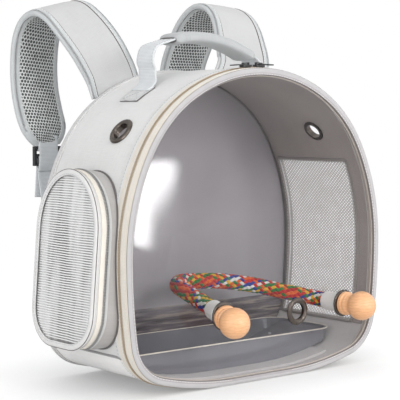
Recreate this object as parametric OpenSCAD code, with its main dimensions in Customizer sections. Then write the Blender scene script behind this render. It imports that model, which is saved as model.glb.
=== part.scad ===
// Backpack carrier for small birds: a padded arch shell with a clear zipped door, a side
// pocket, a carry handle, two shoulder straps, a slide-in tray and a rope perch on the door.
// Front is -Y, right is +X, up is +Z. The origin is the middle of the base, on the ground.

/* [Shell] */
// Width of the shell at its widest
body_w = 356; // [330:1:390]
// Height of the shell
body_h = 330; // [315:1:350]
// Depth of the shell from the zip line to the back
body_d = 142; // [125:1:175]
// Angle from the top at which the crown board meets the side boards
board_seam = 42; // [39:1:45]
// Height at which the shell is widest
wide_z = 138; // [130:1:146]
// Radius of the arch over the top
top_r = 185; // [178:1:192]
// Radius of the two lower corners
corner_r = 50; // [44:1:56]
// Radius of the slightly bowed floor
floor_r = 372; // [330:1:400]
// Thickness of the padded side wall
wall_t = 3; // [2:0.5:4]
// Thickness of the padded back panel
back_t = 4; // [3:0.5:6]
// Height of the seam between side wall and base
seam_z = 40; // [30:1:60]
// Thickness of the stiffening board in the base
board_t = 3; // [2:0.5:4]
// Width of the binding round the back edge
binding_w = 7; // [5:0.5:10]
// Height of the wipe-clean strip on the back wall
strip_top = 63; // [50:1:80]

/* [Door zip] */
// Distance from the zip line to the front of the clear sheet
door_t = 11; // [9:0.5:15]
// Thickness of the clear sheet
sheet_t = 1; // [0.6:0.1:1.5]
// Width of the edge binding on the front of the sheet
edge_w = 7; // [5:0.5:10]
// Width of each half of the zip tape
tape_w = 11; // [9:0.5:12]
// Thickness of the zip tape
tape_t = 1; // [0.6:0.1:1.4]
// Width of the zip coil, both halves
coil_w = 3.2; // [2.4:0.2:4]
// Height of the zip coil over the tape
coil_h = 0.8; // [0.4:0.1:1.2]
// Width of the fabric hinge at the foot of the door
hinge_w = 160; // [120:1:190]
// Length of a zip slider
slider_l = 13; // [11:0.5:14]
// Width of a zip slider
slider_w = 9; // [8:0.5:11]
// Length of a zip pull tab
pull_l = 20; // [14:1:26]
// Angle along the arch between the top and the left slider
slider_a_left = -4.2; // [-6:0.1:-3.5]
// Angle along the arch between the top and the right slider
slider_a_right = 1.4; // [1:0.1:4]

/* [Side window and vents] */
// Depth of the mesh window in the right wall
win_d = 110; // [80:1:112]
// Height of the foot of the mesh window
win_low = 44; // [42:1:60]
// Distance of the mesh window's middle behind the shell's middle
win_back = 4; // [2:0.5:4.5]
// Distance from the head of the mesh window up to the middle of the vent rings
win_head = 36.7; // [32:0.1:50]
// Thickness of the window mesh
mesh_t = 0.8; // [0.6:0.1:1.2]
// Width of the bars between the mesh holes
mesh_bar = 2; // [1.5:0.1:3]
// Width of the binding round the mesh window
win_edge = 5; // [4:0.5:8]
// Angle on the arch at which the vent rings sit
vent_a = 53; // [45:1:58]
// Distance of the vent rings behind the zip line
vent_back = 50; // [40:1:70]
// Outer diameter of the metal rings
ring_d = 30; // [27:0.5:33]
// Bore diameter of the metal rings
ring_bore = 18; // [15:0.5:20]

/* [Side pocket] */
// Depth of the pocket from front to back
pocket_w = 107; // [90:1:112]
// Distance from the top of the pocket up to the middle of the vent rings
pocket_drop = 39.8; // [38:0.1:50]
// Height of the foot of the pocket
pocket_z = 47.5; // [44:0.5:60]
// Distance of the pocket's middle in front of the shell's middle
pocket_front = 12; // [8:1:13]
// How far the pocket stands out from the side at its middle
pocket_out = 25; // [22:1:32]
// Radius of the pocket's lower corners
pocket_corner = 38; // [28:1:44]
// Height of the pocket's arched head
pocket_head = 62; // [50:1:75]
// Lean of the pocket towards the shell
pocket_lean = 4.5; // [3:0.5:6]
// Width of the binding round the pocket's face
pocket_edge = 5; // [4:0.5:8]
// Distance from rib to rib of the pocket mesh
rib_pitch = 3.4; // [3:0.1:5]

/* [Carry handle] */
// Width of the handle webbing
handle_w = 30; // [25:1:34]
// Distance of the handle behind the shell's middle
handle_back = 7; // [0:1:14]
// Height of the grip over the top of the shell
handle_rise = 38; // [34:1:50]
// Distance between the handle's two feet
handle_span = 168; // [150:1:184]
// Length of the padded grip
grip_l = 112; // [100:1:120]
// Width of the padded grip
grip_w = 36; // [32:1:42]
// Thickness of the padded grip
grip_t = 13; // [10:0.5:15]
// Thickness of the handle webbing
web_t = 2; // [1.5:0.1:2.5]

/* [Shoulder straps] */
// Width of the strap pad
pad_w = 68; // [54:1:72]
// Thickness of the strap pad
pad_t = 8; // [6:0.5:10]
// Thickness of the air mesh under the strap pad
lining_t = 1.2; // [0.8:0.1:2]
// Distance of the left strap's seam from the middle
strap_left_x = 74; // [66:1:84]
// Distance of the right strap's seam from the middle
strap_right_x = 88; // [74:1:92]
// How far the right strap stands out behind the shell, with the left one in proportion
strap_reach = 119; // [100:1:130]
// How far the right strap rises over its seam
strap_rise = 110; // [90:1:120]
// How far the left strap's end hangs below its seam
strap_drop = 59; // [45:1:70]
// How far the straps bend outwards
strap_side = 50; // [36:1:56]
// Length of the loose webbing end
tail_l = 40; // [24:1:60]
// Width of the strap webbing
strap_web_w = 25; // [20:1:28]
// Width of the ladder lock
lock_w = 35; // [31:1:40]
// Length of the ladder lock
lock_l = 22; // [20:1:26]
// Thickness of the pads on the back
back_pad_t = 11; // [8:1:14]
// Width of each pad on the back
back_pad_w = 92; // [70:1:100]

/* [Tray] */
// Height of the tray's rim
tray_top = 35; // [30:1:39]
// Wall thickness of the tray
tray_t = 1.6; // [1.2:0.1:2.4]
// Distance of the tray's front behind the zip line
tray_back = 36; // [31:1:45]
// Width of the tray's rim
rim_w = 2.4; // [2:0.2:4]
// Radius of the tray's corners, seen from above
tray_corner = 20; // [14:1:26]

/* [Perch] */
// Diameter of the rope
rope_d = 18; // [15:0.5:18.5]
// Diameter of the white end caps
cap_d = 21; // [20.5:0.5:24]
// Length of the white end caps
cap_l = 22; // [18:1:26]
// Diameter of the wooden ball
ball_d = 32; // [28:1:36]
// Diameter of the knob's flange
flange_d = 26; // [24:1:28]
// Length of the knob
knob_l = 42; // [40:1:50]
// Diameter of the knob's threaded stud
stud_d = 8; // [6:0.5:8]
// Sideways tilt of the left perch end
tilt_side = 20; // [10:1:22]
// Downward tilt of the left perch end
tilt_down = 5; // [0:1:8]

/* [Hidden] */
// Smoothness of round parts
$fn = 48;
// Running gap between pieces that move past each other
gap = 0.3;
// Half the gap between the two halves of a zip
zip_gap = 0.05;
// A little more than nothing, for cutters that pass right through
eps = 0.1;
// Longer than anything in the part, for cutters
big = 600;

// Angles from the top, where one arc of the shell's outline passes into the next
joint_a = [0, 33, 62, 90, 98, 165, 180];
// Number of chords along each arc
arc_n = [11, 9, 7, 3, 9, 4];

// Unit normal of the outline at an angle from the top
function nrm(a) = [sin(a), cos(a)];
function unit(v) = v / norm(v);

// The two middle arcs of the upper half follow from the width and the height
s1 = sin(joint_a[1]);
c1 = cos(joint_a[1]);
s2 = sin(joint_a[2]);
c2 = cos(joint_a[2]);
rest_x = body_w / 2 - top_r * s1;
rest_z = body_h - wide_z - top_r * (1 - c1);
solve = (s2 - s1) * c2 - (1 - s2) * (c1 - c2);
shoulder_r = (rest_x * c2 - rest_z * (1 - s2)) / solve;
flank_r = ((s2 - s1) * rest_z - (c1 - c2) * rest_x) / solve;
// The arc of the lower side follows from the height left over by the corner and the floor
c4 = cos(joint_a[4]);
c5 = cos(joint_a[5]);
side_r = (wide_z - corner_r * (c4 - c5) - floor_r * (c5 + 1)) / -c4;
arc_r = [top_r, shoulder_r, flank_r, side_r, corner_r, floor_r];

// Centre of each arc, worked out from the one before
top_c = [0, body_h - top_r];
function arc_c(i) = i == 0 ? top_c : arc_c(i - 1) + (arc_r[i - 1] - arc_r[i]) * nrm(joint_a[i]);
centres = [for (i = [0:5]) arc_c(i)];
function arc_of(a) = a < joint_a[1] ? 0 : a < joint_a[2] ? 1 : a < joint_a[3] ? 2 :
    a < joint_a[4] ? 3 : a < joint_a[5] ? 4 : 5;

// Point of the outline at an angle from the top, d inside it
function rim_pt(a, d = 0) = centres[arc_of(a)] + (arc_r[arc_of(a)] - d) * nrm(a);
right_a = [for (i = [0:5]) for (k = [1:arc_n[i]])
    joint_a[i] + (joint_a[i + 1] - joint_a[i]) * k / arc_n[i]];
function right_pts(d) = [for (a = right_a) rim_pt(min(a, 179.999), d)];
function mirrored(p) = [for (i = [len(p) - 1:-1:0]) [-p[i][0], p[i][1]]];
function outline_pts(d) = concat([[0, body_h - d]], right_pts(d), mirrored(right_pts(d)));

// Heights that follow from the vent rings
vent_z = rim_pt(vent_a)[1];
win_high = vent_z - win_head;
pocket_h = (vent_z - pocket_drop - pocket_z) / cos(pocket_lean);

// Positions along the depth
y_zip = -body_d / 2;
y_back = body_d / 2;
y_sheet = y_zip - door_t;
y_door = y_sheet - 1.2;
y_wall = y_back - back_t;

module outline(d) polygon(outline_pts(d));

// Turns a drawing in X and Z into a plate between two depths
module slab(y0, y1) translate([0, y1, 0]) rotate([90, 0, 0]) linear_extrude(y1 - y0) children();

// A band that follows the outline, between two insets and two depths
module hoop(out, in, y0, y1) slab(y0, y1) difference() { outline(out); outline(in); }

// Half spaces used to trim pieces
module above(z) translate([-big / 2, -big / 2, z]) cube(big);
module below(z) translate([-big / 2, -big / 2, z - big]) cube(big);
module foot_zone(w, z) translate([-w / 2, -big / 2, -big / 2]) cube([w, big, big / 2 + z]);

// Places a piece on the arch, its own Z pointing out of the shell
module on_arch(a, y, d = 0) {
    p = rim_pt(abs(a), d);
    translate([sign(a) * p[0], y, p[1]]) rotate([0, a, 0]) children();
}

// Catmull-Rom curve through rows of any length
function knot(p, i) = p[max(0, min(len(p) - 1, i))];
function between(a, b, c, d, t) = 0.5 * (2 * b + (c - a) * t + (2 * a - 5 * b + 4 * c - d) * t * t
    + (3 * b - a - 3 * c + d) * t * t * t);
function curve(p, m) = concat([for (i = [0:len(p) - 2]) for (k = [0:m - 1])
    between(knot(p, i - 1), p[i], p[i + 1], knot(p, i + 2), k / m)], [p[len(p) - 1]]);
function place(r) = [r[0], r[1], r[2]];
function heading(p, i) = unit(place(knot(p, i + 1)) - place(knot(p, i - 1)));
function across(v, t) = unit(v - (v * t) * t);

// Signed power, for sections with flattened sides
function bow(v, e) = sign(v) * pow(abs(v), e);

// Soft strip swept along rows [x, y, z, across x, y, z, half width, half thickness].
// lift moves it off its own middle, towards the inner side of the bend.
module strip(rows, m, sides, square = 0.6, lift = 0, slim = 0, thin = 0) {
    p = curve(rows, m);
    n = len(p);
    pts = [for (i = [0:n - 1])
        let (t = heading(p, i), u = across([p[i][3], p[i][4], p[i][5]], t), v = cross(t, u),
            w = p[i][6] - slim, h = thin > 0 ? thin / 2 : p[i][7],
            off = lift > 0 ? p[i][7] + lift + h : 0)
        for (j = [0:sides - 1])
            place(p[i]) + v * off + u * w * bow(cos(360 * j / sides), square)
                + v * h * bow(sin(360 * j / sides), square)];
    skin(pts, n, sides);
}

// Closed skin over rings of points
module skin(pts, n, sides) {
    side = [for (i = [0:n - 2]) for (j = [0:sides - 1])
        let (a = i * sides + j, b = i * sides + (j + 1) % sides)
        each [[a, a + sides, b], [b, a + sides, b + sides]]];
    ends = [[for (j = [0:sides - 1]) j], [for (j = [sides - 1:-1:0]) (n - 1) * sides + j]];
    polyhedron(pts, concat(side, ends), convexity = 6);
}

// Metal eyelet round a sheet: outer flange, barrel and rolled inner flange, axis on Z
module eyelet(sheet) {
    r = ring_d / 2;
    b = ring_bore / 2;
    mid = (r + b) / 2;
    rotate_extrude() polygon([
        [b, -sheet - 1.2], [b, 1.4], [b + 0.8, 2.1], [mid, 2.4], [r - 1, 1.9], [r, 0.9], [r, 0],
        [b + 1.2, 0], [b + 1.2, -sheet], [r - 2, -sheet], [r - 2, -sheet - 0.7], [r - 3, -sheet - 1.2]]);
}

// Zip slider body over a coil, travel along X, its own Z out of the tape
slider_top = 2.2;
bridge_z = 1.5;
module slider_body() {
    base = tape_t + coil_h + gap;
    translate([0, 0, base]) {
        linear_extrude(slider_top) intersection() {
            square([slider_l, slider_w], center = true);
            scale([1, 1.05]) circle(d = slider_l);
        }
        for (s = [-1, 1]) translate([s * 4, 0, slider_top]) linear_extrude(bridge_z)
            square([1.6, 2], center = true);
        translate([0, 0, slider_top + bridge_z]) linear_extrude(1) square([9.6, 2], center = true);
    }
}

// Pull tab with its bail under the slider's bridge, pointing along +X
bail_r = 0.5;
bail_z = tape_t + coil_h + gap + slider_top + bridge_z / 2;
module pull_body() {
    translate([0, 0, bail_z]) {
        rotate([90, 0, 0]) cylinder(r = bail_r, h = 7.2, center = true);
        for (s = [-1, 1]) translate([0, s * 3.1, 0]) rotate([0, 90, 0])
            cylinder(r = bail_r, h = 8);
        translate([7, 0, -0.6]) linear_extrude(1.2)
            difference() {
                polygon([[0, -3.6], [pull_l - 9, -3.6], [pull_l - 7, -2], [pull_l - 7, 2],
                    [pull_l - 9, 3.6], [0, 3.6]]);
                translate([pull_l - 11, 0]) circle(d = 2.6);
            }
    }
}

// Shell walls, base and back

module window_cut(grow) {
    y0 = -win_d / 2 + win_back - grow;
    translate([0, y0, win_low - grow]) cube([big, win_d + 2 * grow, win_high - win_low + 2 * grow]);
}

module vent_cut(r) for (s = [-1, 1]) on_arch(s * vent_a, y_zip + vent_back)
    cylinder(r = r, h = 40, center = true);

module padded_wall() difference() {
    hoop(0, wall_t, y_zip + zip_gap, y_wall);
    below(seam_z);
    window_cut(0);
    vent_cut(ring_bore / 2 + 1.2 + gap / 2);
}

// The wall is padded with three boards: one over the crown and one down each side
module crown_wedge() slab(-big / 2, big / 2) polygon([top_c, top_c + big * nrm(-board_seam),
    top_c + big * nrm(board_seam)]);
module shell_crown() color("gainsboro") intersection() {
    padded_wall();
    crown_wedge();
}
module shell_side(s) color("gainsboro") intersection() {
    difference() {
        padded_wall();
        crown_wedge();
    }
    handed(s) translate([0, -big / 2, -big / 2]) cube(big);
}

module base_panel() color("silver") intersection() {
    hoop(0, wall_t, y_zip + zip_gap, y_wall);
    below(seam_z);
}

module base_board() color("dimgray") intersection() {
    hoop(wall_t + gap, wall_t + gap + board_t, y_zip + 12, y_wall - 1);
    foot_zone(240, 30);
}

module back_panel() color("lightgray") slab(y_wall, y_back) outline(0);

module back_binding() color("gray") difference() {
    union() {
        hoop(-1, 0, y_back - binding_w, y_back);
        hoop(-1, binding_w / 2, y_back, y_back + 1);
    }
    below(0.6);
}

module corner_piping() color("dimgray") difference() {
    hoop(wall_t, wall_t + 2, y_wall - 2.4, y_wall);
    below(seam_z + 24);
}

module wipe_strip() color("slategray") intersection() {
    slab(y_wall - 0.6, y_wall) outline(wall_t + gap);
    above(tray_top - 12);
    below(strip_top);
}

module hinge_strip() color("silver") intersection() {
    hoop(0, 1.5, y_sheet + sheet_t + gap, y_zip);
    foot_zone(hinge_w - 1, 20);
}

// Half of the zip: a tape on the side wall and half of the coil at its edge
module zip_half(y0, y1, coil0, coil1) difference() {
    union() {
        hoop(-tape_t, 0, y0, y1);
        hoop(-tape_t - coil_h, -tape_t, coil0, coil1);
    }
    foot_zone(hinge_w, 25);
}

module shell_zip() color("beige")
    zip_half(y_zip + zip_gap, y_zip + tape_w, y_zip + zip_gap, y_zip + coil_w / 2);

// Mesh window with its binding

module window_mesh() color("whitesmoke") difference() {
    intersection() {
        hoop(wall_t / 2, wall_t / 2 + mesh_t, -big / 2, big / 2);
        window_cut(-gap);
    }
    cols = 11;
    rows = 20;
    cell_y = win_d / cols;
    cell_z = (win_high - win_low) / rows;
    for (i = [0:cols - 1]) for (k = [0:rows - 1])
        translate([0, -win_d / 2 + win_back + (i + 0.5) * cell_y, win_low + (k + 0.5) * cell_z])
            cube([big, cell_y - mesh_bar, cell_z - mesh_bar], center = true);
}

module window_binding() color("lightgray") difference() {
    intersection() {
        hoop(wall_t, wall_t + 1.2, -big / 2, big / 2);
        window_cut(win_edge);
    }
    window_cut(0);
}

// The barrel is a little longer than the wall, which curves away under the ring
vent_reach = 0.9;
module vent_ring(s) color("dimgray") on_arch(s * vent_a, y_zip + vent_back) eyelet(wall_t + vent_reach);

// Side pocket, drawn flat: its own X to the front, Y up, Z out of the shell

module pocket_frame_place() {
    v = [sin(pocket_lean), 0, cos(pocket_lean)];
    mid = [-body_w / 2, -pocket_front, pocket_z + pocket_h / 2 * cos(pocket_lean)];
    translate(mid - v * pocket_h / 2) rotate([0, pocket_lean, 0])
        multmatrix([[0, 0, -1, 0], [-1, 0, 0, 0], [0, 1, 0, 0], [0, 0, 0, 1]]) children();
}

function corner(c, r, a0, a1, n) = [for (k = [0:n]) c + r * [cos(a0 + (a1 - a0) * k / n),
    sin(a0 + (a1 - a0) * k / n)]];
function head(w, d, n) = [for (k = [1:n - 1]) [(w / 2 - d) * cos(180 * k / n),
    pocket_h - pocket_head + (pocket_head - d) * sin(180 * k / n)]];
function pocket_pts(d) = concat(
    corner([pocket_w / 2 - pocket_corner, pocket_corner], pocket_corner - d, -90, 0, 8),
    [[pocket_w / 2 - d, pocket_h - pocket_head]], head(pocket_w, d, 24),
    [[-pocket_w / 2 + d, pocket_h - pocket_head]],
    corner([-pocket_w / 2 + pocket_corner, pocket_corner], pocket_corner - d, 180, 270, 8));

module pocket_ring(out, in, z0, z1) translate([0, 0, z0]) linear_extrude(z1 - z0)
    difference() { polygon(pocket_pts(out)); polygon(pocket_pts(in)); }

// Height of the pocket's zip line over its mid plane
pocket_zip = pocket_out - 12;
pocket_foot = 2 * (pocket_w / 2 - pocket_corner) + 24;

module pocket_wall() color("gainsboro") difference() {
    pocket_frame_place() pocket_ring(0, 2, -22, pocket_zip - zip_gap);
    slab(-big / 2, big / 2) outline(-gap / 10);
    // Room for the zip tape that passes under the pocket's front edge
    slab(y_zip, y_zip + tape_w + gap) outline(-tape_t - gap / 10);
}

module pocket_zip_half(z0, z1, coil0, coil1) pocket_frame_place() difference() {
    union() {
        pocket_ring(-tape_t, 0, z0, z1);
        pocket_ring(-tape_t - coil_h, -tape_t, coil0, coil1);
    }
    translate([-pocket_foot / 2, -20, -big / 2]) cube([pocket_foot, 40, big]);
}

module pocket_wall_zip() color("silver")
    pocket_zip_half(pocket_zip - 5, pocket_zip - zip_gap, pocket_zip - coil_w / 2, pocket_zip - zip_gap);

module pocket_flap_zip() color("beige")
    pocket_zip_half(pocket_zip + zip_gap, pocket_zip + 7, pocket_zip + zip_gap, pocket_zip + coil_w / 2);

module pocket_rim() color("whitesmoke") pocket_frame_place() union() {
    pocket_ring(0, 2, pocket_zip + zip_gap, pocket_out - 2);
    pocket_ring(0, pocket_edge, pocket_out - 2, pocket_out + 1);
}

// Ribbed mesh of the pocket: slots between level ribs, with a solid margin in the rim
module pocket_mesh() color("white") pocket_frame_place()
    translate([0, 0, pocket_out - 2 - gap - mesh_t]) linear_extrude(mesh_t) difference() {
        polygon(pocket_pts(2 + gap));
        intersection() {
            polygon(pocket_pts(pocket_edge + 1));
            for (y = [pocket_edge + rib_pitch:rib_pitch:pocket_h])
                translate([-pocket_w / 2, y]) square([pocket_w, rib_pitch / 2]);
        }
    }

module pocket_slider_place() pocket_frame_place()
    translate([-pocket_w / 2, pocket_corner + slider_l, pocket_zip]) rotate([0, -90, 0])
    rotate([0, 0, 90]) children();

module pocket_slider() color("dimgray") pocket_slider_place() slider_body();
module pocket_pull() color("dimgray") pocket_slider_place() mirror([1, 0, 0]) pull_body();

// Door: clear sheet, edge binding, wall and zip

module door_trim() difference() {
    children();
    below(0.8);
}

module door_wall() color("gainsboro") difference() {
    hoop(0, 2.5, y_sheet + sheet_t, y_zip - zip_gap);
    foot_zone(hinge_w, 25);
}

module door_zip() color("beige")
    zip_half(y_zip - tape_w + 2, y_zip - zip_gap, y_zip - coil_w / 2, y_zip - zip_gap);

// Places of the three metal rings in the sheet
perch_ring = [[-54, 74], [52, 68.5], [123, 71]];
module at_ring(i) translate([perch_ring[i][0], y_sheet, perch_ring[i][1]]) rotate([90, 0, 0]) children();

module window_sheet() color("lightblue", 0.3) difference() {
    door_trim() slab(y_sheet, y_sheet + sheet_t) outline(0);
    for (i = [0:2]) at_ring(i) cylinder(d = ring_bore + 2.4 + gap, h = 20, center = true);
}

module edge_binding() color("lightgray") door_trim() hoop(0, edge_w, y_door, y_sheet);

module door_ring(i) color("dimgray") at_ring(i) eyelet(sheet_t);

// Perch ends: the left one is tilted, so it starts further from its ring
tilt = acos(cos(tilt_side) * cos(tilt_down));
module at_end(i) translate([perch_ring[i][0], y_sheet, perch_ring[i][1]])
    rotate([i == 0 ? tilt_down : 0, 0, i == 0 ? -tilt_side : 0]) rotate([90, 0, 0]) children();
function knob_off(i) = 2.4 + gap + (i == 0 ? flange_d / 2 * sin(tilt) : 0);
function cap_off(i) = sheet_t + 1.2 + gap + (i == 0 ? cap_d / 2 * sin(tilt) : 0);
function end_dir(i) = i == 0 ? [-sin(tilt_side) * cos(tilt_down), -cos(tilt_side) * cos(tilt_down),
    -sin(tilt_down)] : [0, -1, 0];

cap_wall = 3;
head_t = 2.5;
bore_gap = 0.08;
knob_bore_l = 20;

// Turned wooden knob with its stud hole, axis on Z, flange at the bottom
module knob(i) color("burlywood") at_end(i) translate([0, 0, knob_off(i)]) {
    rb = ball_d / 2;
    rf = flange_d / 2;
    zb = knob_l - rb;
    neck_r = ball_d * 0.3;
    neck_z = 13;
    start = asin(neck_r / rb);
    difference() {
        rotate_extrude() polygon(concat(
            [[0, 0], [rf - 0.8, 0], [rf, 0.8], [rf, 4.2], [rf - 0.8, 5], [rf - 1.6, 5.4], [rf - 1.6, 6],
                [rf - 1.2, 6.6], [rf - 1.2, 8.6], [rf - 2, 9.4], [neck_r + 0.4, 10.2], [neck_r, neck_z - 1]],
            [for (k = [0:18]) [rb * sin(180 - start - (180 - start) * k / 18),
                zb + rb * cos(180 - start - (180 - start) * k / 18)]]));
        translate([0, 0, -eps]) cylinder(d = stud_d + 2 * bore_gap, h = knob_bore_l + eps);
    }
}

module stud(i) color("silver") at_end(i) {
    back = -cap_off(i) - cap_wall;
    translate([0, 0, back]) cylinder(d = stud_d, h = knob_off(i) + knob_bore_l - 1 - back);
    translate([0, 0, back - head_t]) cylinder(d = stud_d + 6, h = head_t);
}

module perch_cap(i) color("white") at_end(i) translate([0, 0, -cap_off(i) - cap_l]) difference() {
    rotate_extrude() polygon([[0, 0], [cap_d / 2 - 0.6, 0], [cap_d / 2, 0.6], [cap_d / 2, cap_l - 1.5],
        [cap_d / 2 - 1.5, cap_l], [0, cap_l]]);
    translate([0, 0, -eps]) cylinder(d = rope_d + 2 * gap, h = cap_l - cap_wall + eps);
    cylinder(d = stud_d, h = cap_l + eps);
}

// Rope perch: from the right cap back into the cabin, round a bend and out to the left cap
rope_bend = [[117, -38, 73.5], [92, -18, 80], [62, 2, 88], [25, 15, 94], [-5, 20, 96],
    [-28, 19, 97], [-42, 8, 95], [-43.5, -8, 90], [-41, -27, 83]];
function rope_end(i, s) = [perch_ring[i][0], y_sheet, perch_ring[i][1]]
    - end_dir(i) * (cap_off(i) + cap_wall + head_t + gap + s);
rope_path = concat([for (s = [0, 10, 20]) rope_end(2, s)], rope_bend,
    [for (s = [20, 10, 0]) rope_end(0, s)]);
module rope_perch() color("tomato") strip([for (p = rope_path) concat(p, [0, 0, 1, rope_d / 2, rope_d / 2])],
    2, 12, 1);

// Tray, shaped to the bowed floor

tray_in = wall_t + board_t + 2 * gap;
// Half the width inside the shell at a height, and the tray's half width at its rim
function half_at(z, d) = max([for (a = right_a) let (p = rim_pt(a, d)) p[1] < z && a > joint_a[3] ? p[0] : 0]);
tray_x = half_at(tray_top, tray_in) - rim_w;
module tray_plan(grow) {
    y0 = y_zip + tray_back - grow;
    y1 = y_wall - 0.6 - gap - rim_w + grow;
    x1 = tray_x + grow;
    r = tray_corner + grow;
    linear_extrude(big) polygon(concat(
        corner([x1 - r, y0 + r], r, -90, 0, 6), corner([x1 - r, y1 - r], r, 0, 90, 6),
        corner([-x1 + r, y1 - r], r, 90, 180, 6), corner([-x1 + r, y0 + r], r, 180, 270, 6)));
}
module tray_solid(d, grow, z0, z1) intersection() {
    slab(-big / 2, big / 2) outline(d);
    tray_plan(grow);
    above(z0);
    below(z1);
}
module tray() color("gray") difference() {
    union() {
        tray_solid(tray_in, 0, 0, tray_top);
        tray_solid(tray_in - 1.6, rim_w, tray_top - 1.6, tray_top);
    }
    tray_solid(tray_in + tray_t, -tray_t, 0, tray_top + 1);
}

// Carry handle

foot_a = asin(handle_span / 2 / top_r);
foot_z = top_c[1] + top_r * cos(foot_a);
handle_axis = foot_z + handle_w / 2 + 1.2;
grip_z = body_h + handle_rise;

module handle_patch(s) color("lightgray") on_arch(s * (foot_a + 4.6), handle_back, 0)
    translate([0, 0, gap / 2]) linear_extrude(web_t) square([28, handle_w], center = true);

// Middle line of the webbing, from the left foot over the grip to the right foot
foot_x = handle_span / 2 - 0.5;
web_path = [[-foot_x, foot_z - 20], [-foot_x, handle_axis], [-foot_x - 3, handle_axis + 13],
    [-foot_x + 2, grip_z - 15], [-foot_x + 18, grip_z - 9], for (x = [-50, -25, 0, 25, 45, 60])
    [x, grip_line(x) + 0.6], [foot_x - 12, grip_z - 33], [foot_x - 2, handle_axis], [foot_x, foot_z - 20]];
web_line = curve(web_path, 3);
function side_of(p, i) = let (t = unit(knot(p, i + 1) - knot(p, i - 1))) [-t[1], t[0]];
function band(p, h) = concat([for (i = [0:len(p) - 1]) p[i] + side_of(p, i) * h],
    [for (i = [len(p) - 1:-1:0]) p[i] - side_of(p, i) * h]);

module handle_webbing() color("lightgray") difference() {
    slab(handle_back - handle_w / 2, handle_back + handle_w / 2) polygon(band(web_line, web_t / 2));
    // Rounded feet, so that the webbing can swing on the patches
    difference() {
        below(handle_axis);
        translate([0, handle_back, handle_axis]) rotate([0, 90, 0])
            cylinder(d = handle_w, h = big, center = true);
    }
    // Room for the grip round the middle, its sides leaning with the grip's ends
    slab(-big / 2, big / 2) polygon([for (c = [[-1, 20], [1, 20], [1, -20], [-1, -20]])
        let (x = c[0] * (grip_l / 2 + 1.6 * gap)) [x - c[1] * grip_slope(x), grip_line(x) + c[1]]]);
}

// Height of the grip's middle line, and its slope over the last stretch before x
function grip_line(x) = grip_z - 4 - 0.12 * (x + 3) - 0.0033 * (x + 3) * (x + 3);
function grip_slope(x) = (grip_line(x) - grip_line(x * 0.88)) / (x * 0.12);
grip_path = [for (k = [0:8]) let (x = grip_l * (k / 8 - 0.5), last = k == 0 || k == 8)
    [x, handle_back, grip_line(x), 0, 1, 0, grip_w / 2 * (last ? 0.86 : 1),
        grip_t / 2 * (last ? 0.55 : 1)]];
module handle_grip() color("silver") strip(grip_path, 2, 16);

// Shoulder straps, drawn for the right side

function strap_x(s) = s > 0 ? strap_right_x : strap_left_x;
function strap_a(s) = asin(strap_x(s) / top_r);
strap_y = y_back + 1 + gap + pad_t / 2 * 0.35;

// A row of the pad: shares of side, reach and rise or drop, twist and turn, and shares of width and thickness
function strap_row(s, sx, sy, sz, twist, turn = 0, w = 1, t = 1) = [strap_x(s) + sx * strap_side,
    strap_y + sy * strap_reach,
    top_c[1] + top_r * cos(strap_a(s)) - 9 + sz * (sz > 0 ? strap_rise : strap_drop),
    cos(twist) * cos(turn), -cos(twist) * sin(turn), -sin(twist), pad_w / 2 * w, pad_t / 2 * t];
left_rows = [
    strap_row(-1, 0, 0.008, 0, strap_a(-1), 0, 1, 0.3), strap_row(-1, 0.12, 0.06, 0.222, 25, 2, 1, 0.9),
    strap_row(-1, 0.4, 0.12, 0.477, 25, 3.8), strap_row(-1, 0.68, 0.213, 0.686, 20, 5),
    strap_row(-1, 0.84, 0.318, 0.809, 15.5, 6), strap_row(-1, 0.94, 0.448, 0.845, 12.5, 7),
    strap_row(-1, 0.98, 0.595, 0.772, 8.5, 8.2), strap_row(-1, 1.01, 0.708, 0.586, 4, 9.3),
    strap_row(-1, 0.99, 0.771, 0.331, 1.5, 10), strap_row(-1, 0.95, 0.788, 0.059, 1.5, 9.7),
    strap_row(-1, 0.9, 0.755, -0.331, 1.8, 9), strap_row(-1, 0.86, 0.704, -0.653, 2, 6, 0.92),
    strap_row(-1, 0.84, 0.679, -0.857, 1, 3, 0.72, 0.9), strap_row(-1, 0.83, 0.671, -1, 0, 0, 0.48, 0.6)];
right_rows = [
    strap_row(1, 0, 0.008, 0, strap_a(1), 0, 1, 0.3), strap_row(1, 0.32, 0.053, 0.157, 24, 4, 1, 0.85),
    strap_row(1, 0.64, 0.087, 0.375, 9, 17), strap_row(1, 0.77, 0.187, 0.62, 5, 11.6),
    strap_row(1, 0.83, 0.313, 0.857, 3, 4), strap_row(1, 0.8, 0.465, 0.993, 3.2, -3),
    strap_row(1, 0.76, 0.641, 1, 4.3, -2.8), strap_row(1, 0.69, 0.801, 0.857, 4.3, -1),
    strap_row(1, 0.62, 0.918, 0.63, 5.5), strap_row(1, 0.54, 0.99, 0.402, 4.5),
    strap_row(1, 0.49, 1, 0.175, 2.6), strap_row(1, 0.48, 0.965, 0.011, 0.5, 0, 0.92),
    strap_row(1, 0.49, 0.944, -0.131, 0, 0, 0.72, 0.9), strap_row(1, 0.5, 0.937, -0.25, 0, 0, 0.48, 0.6)];
function strap_rows(s) = s > 0 ? right_rows : left_rows;
function strap_end(s) = strap_rows(s)[len(left_rows) - 1];

module handed(s) if (s > 0) children(); else mirror([1, 0, 0]) children();

module strap_pad(s) color("gainsboro") handed(s) strip(strap_rows(s), 4, 14);

function lining_rows(s) = [for (i = [1:len(left_rows) - 3]) strap_rows(s)[i]];
module strap_lining(s) color("darkgray") handed(s)
    strip(lining_rows(s), 8, 8, 0.3, 0.3, 7, lining_t);

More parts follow.
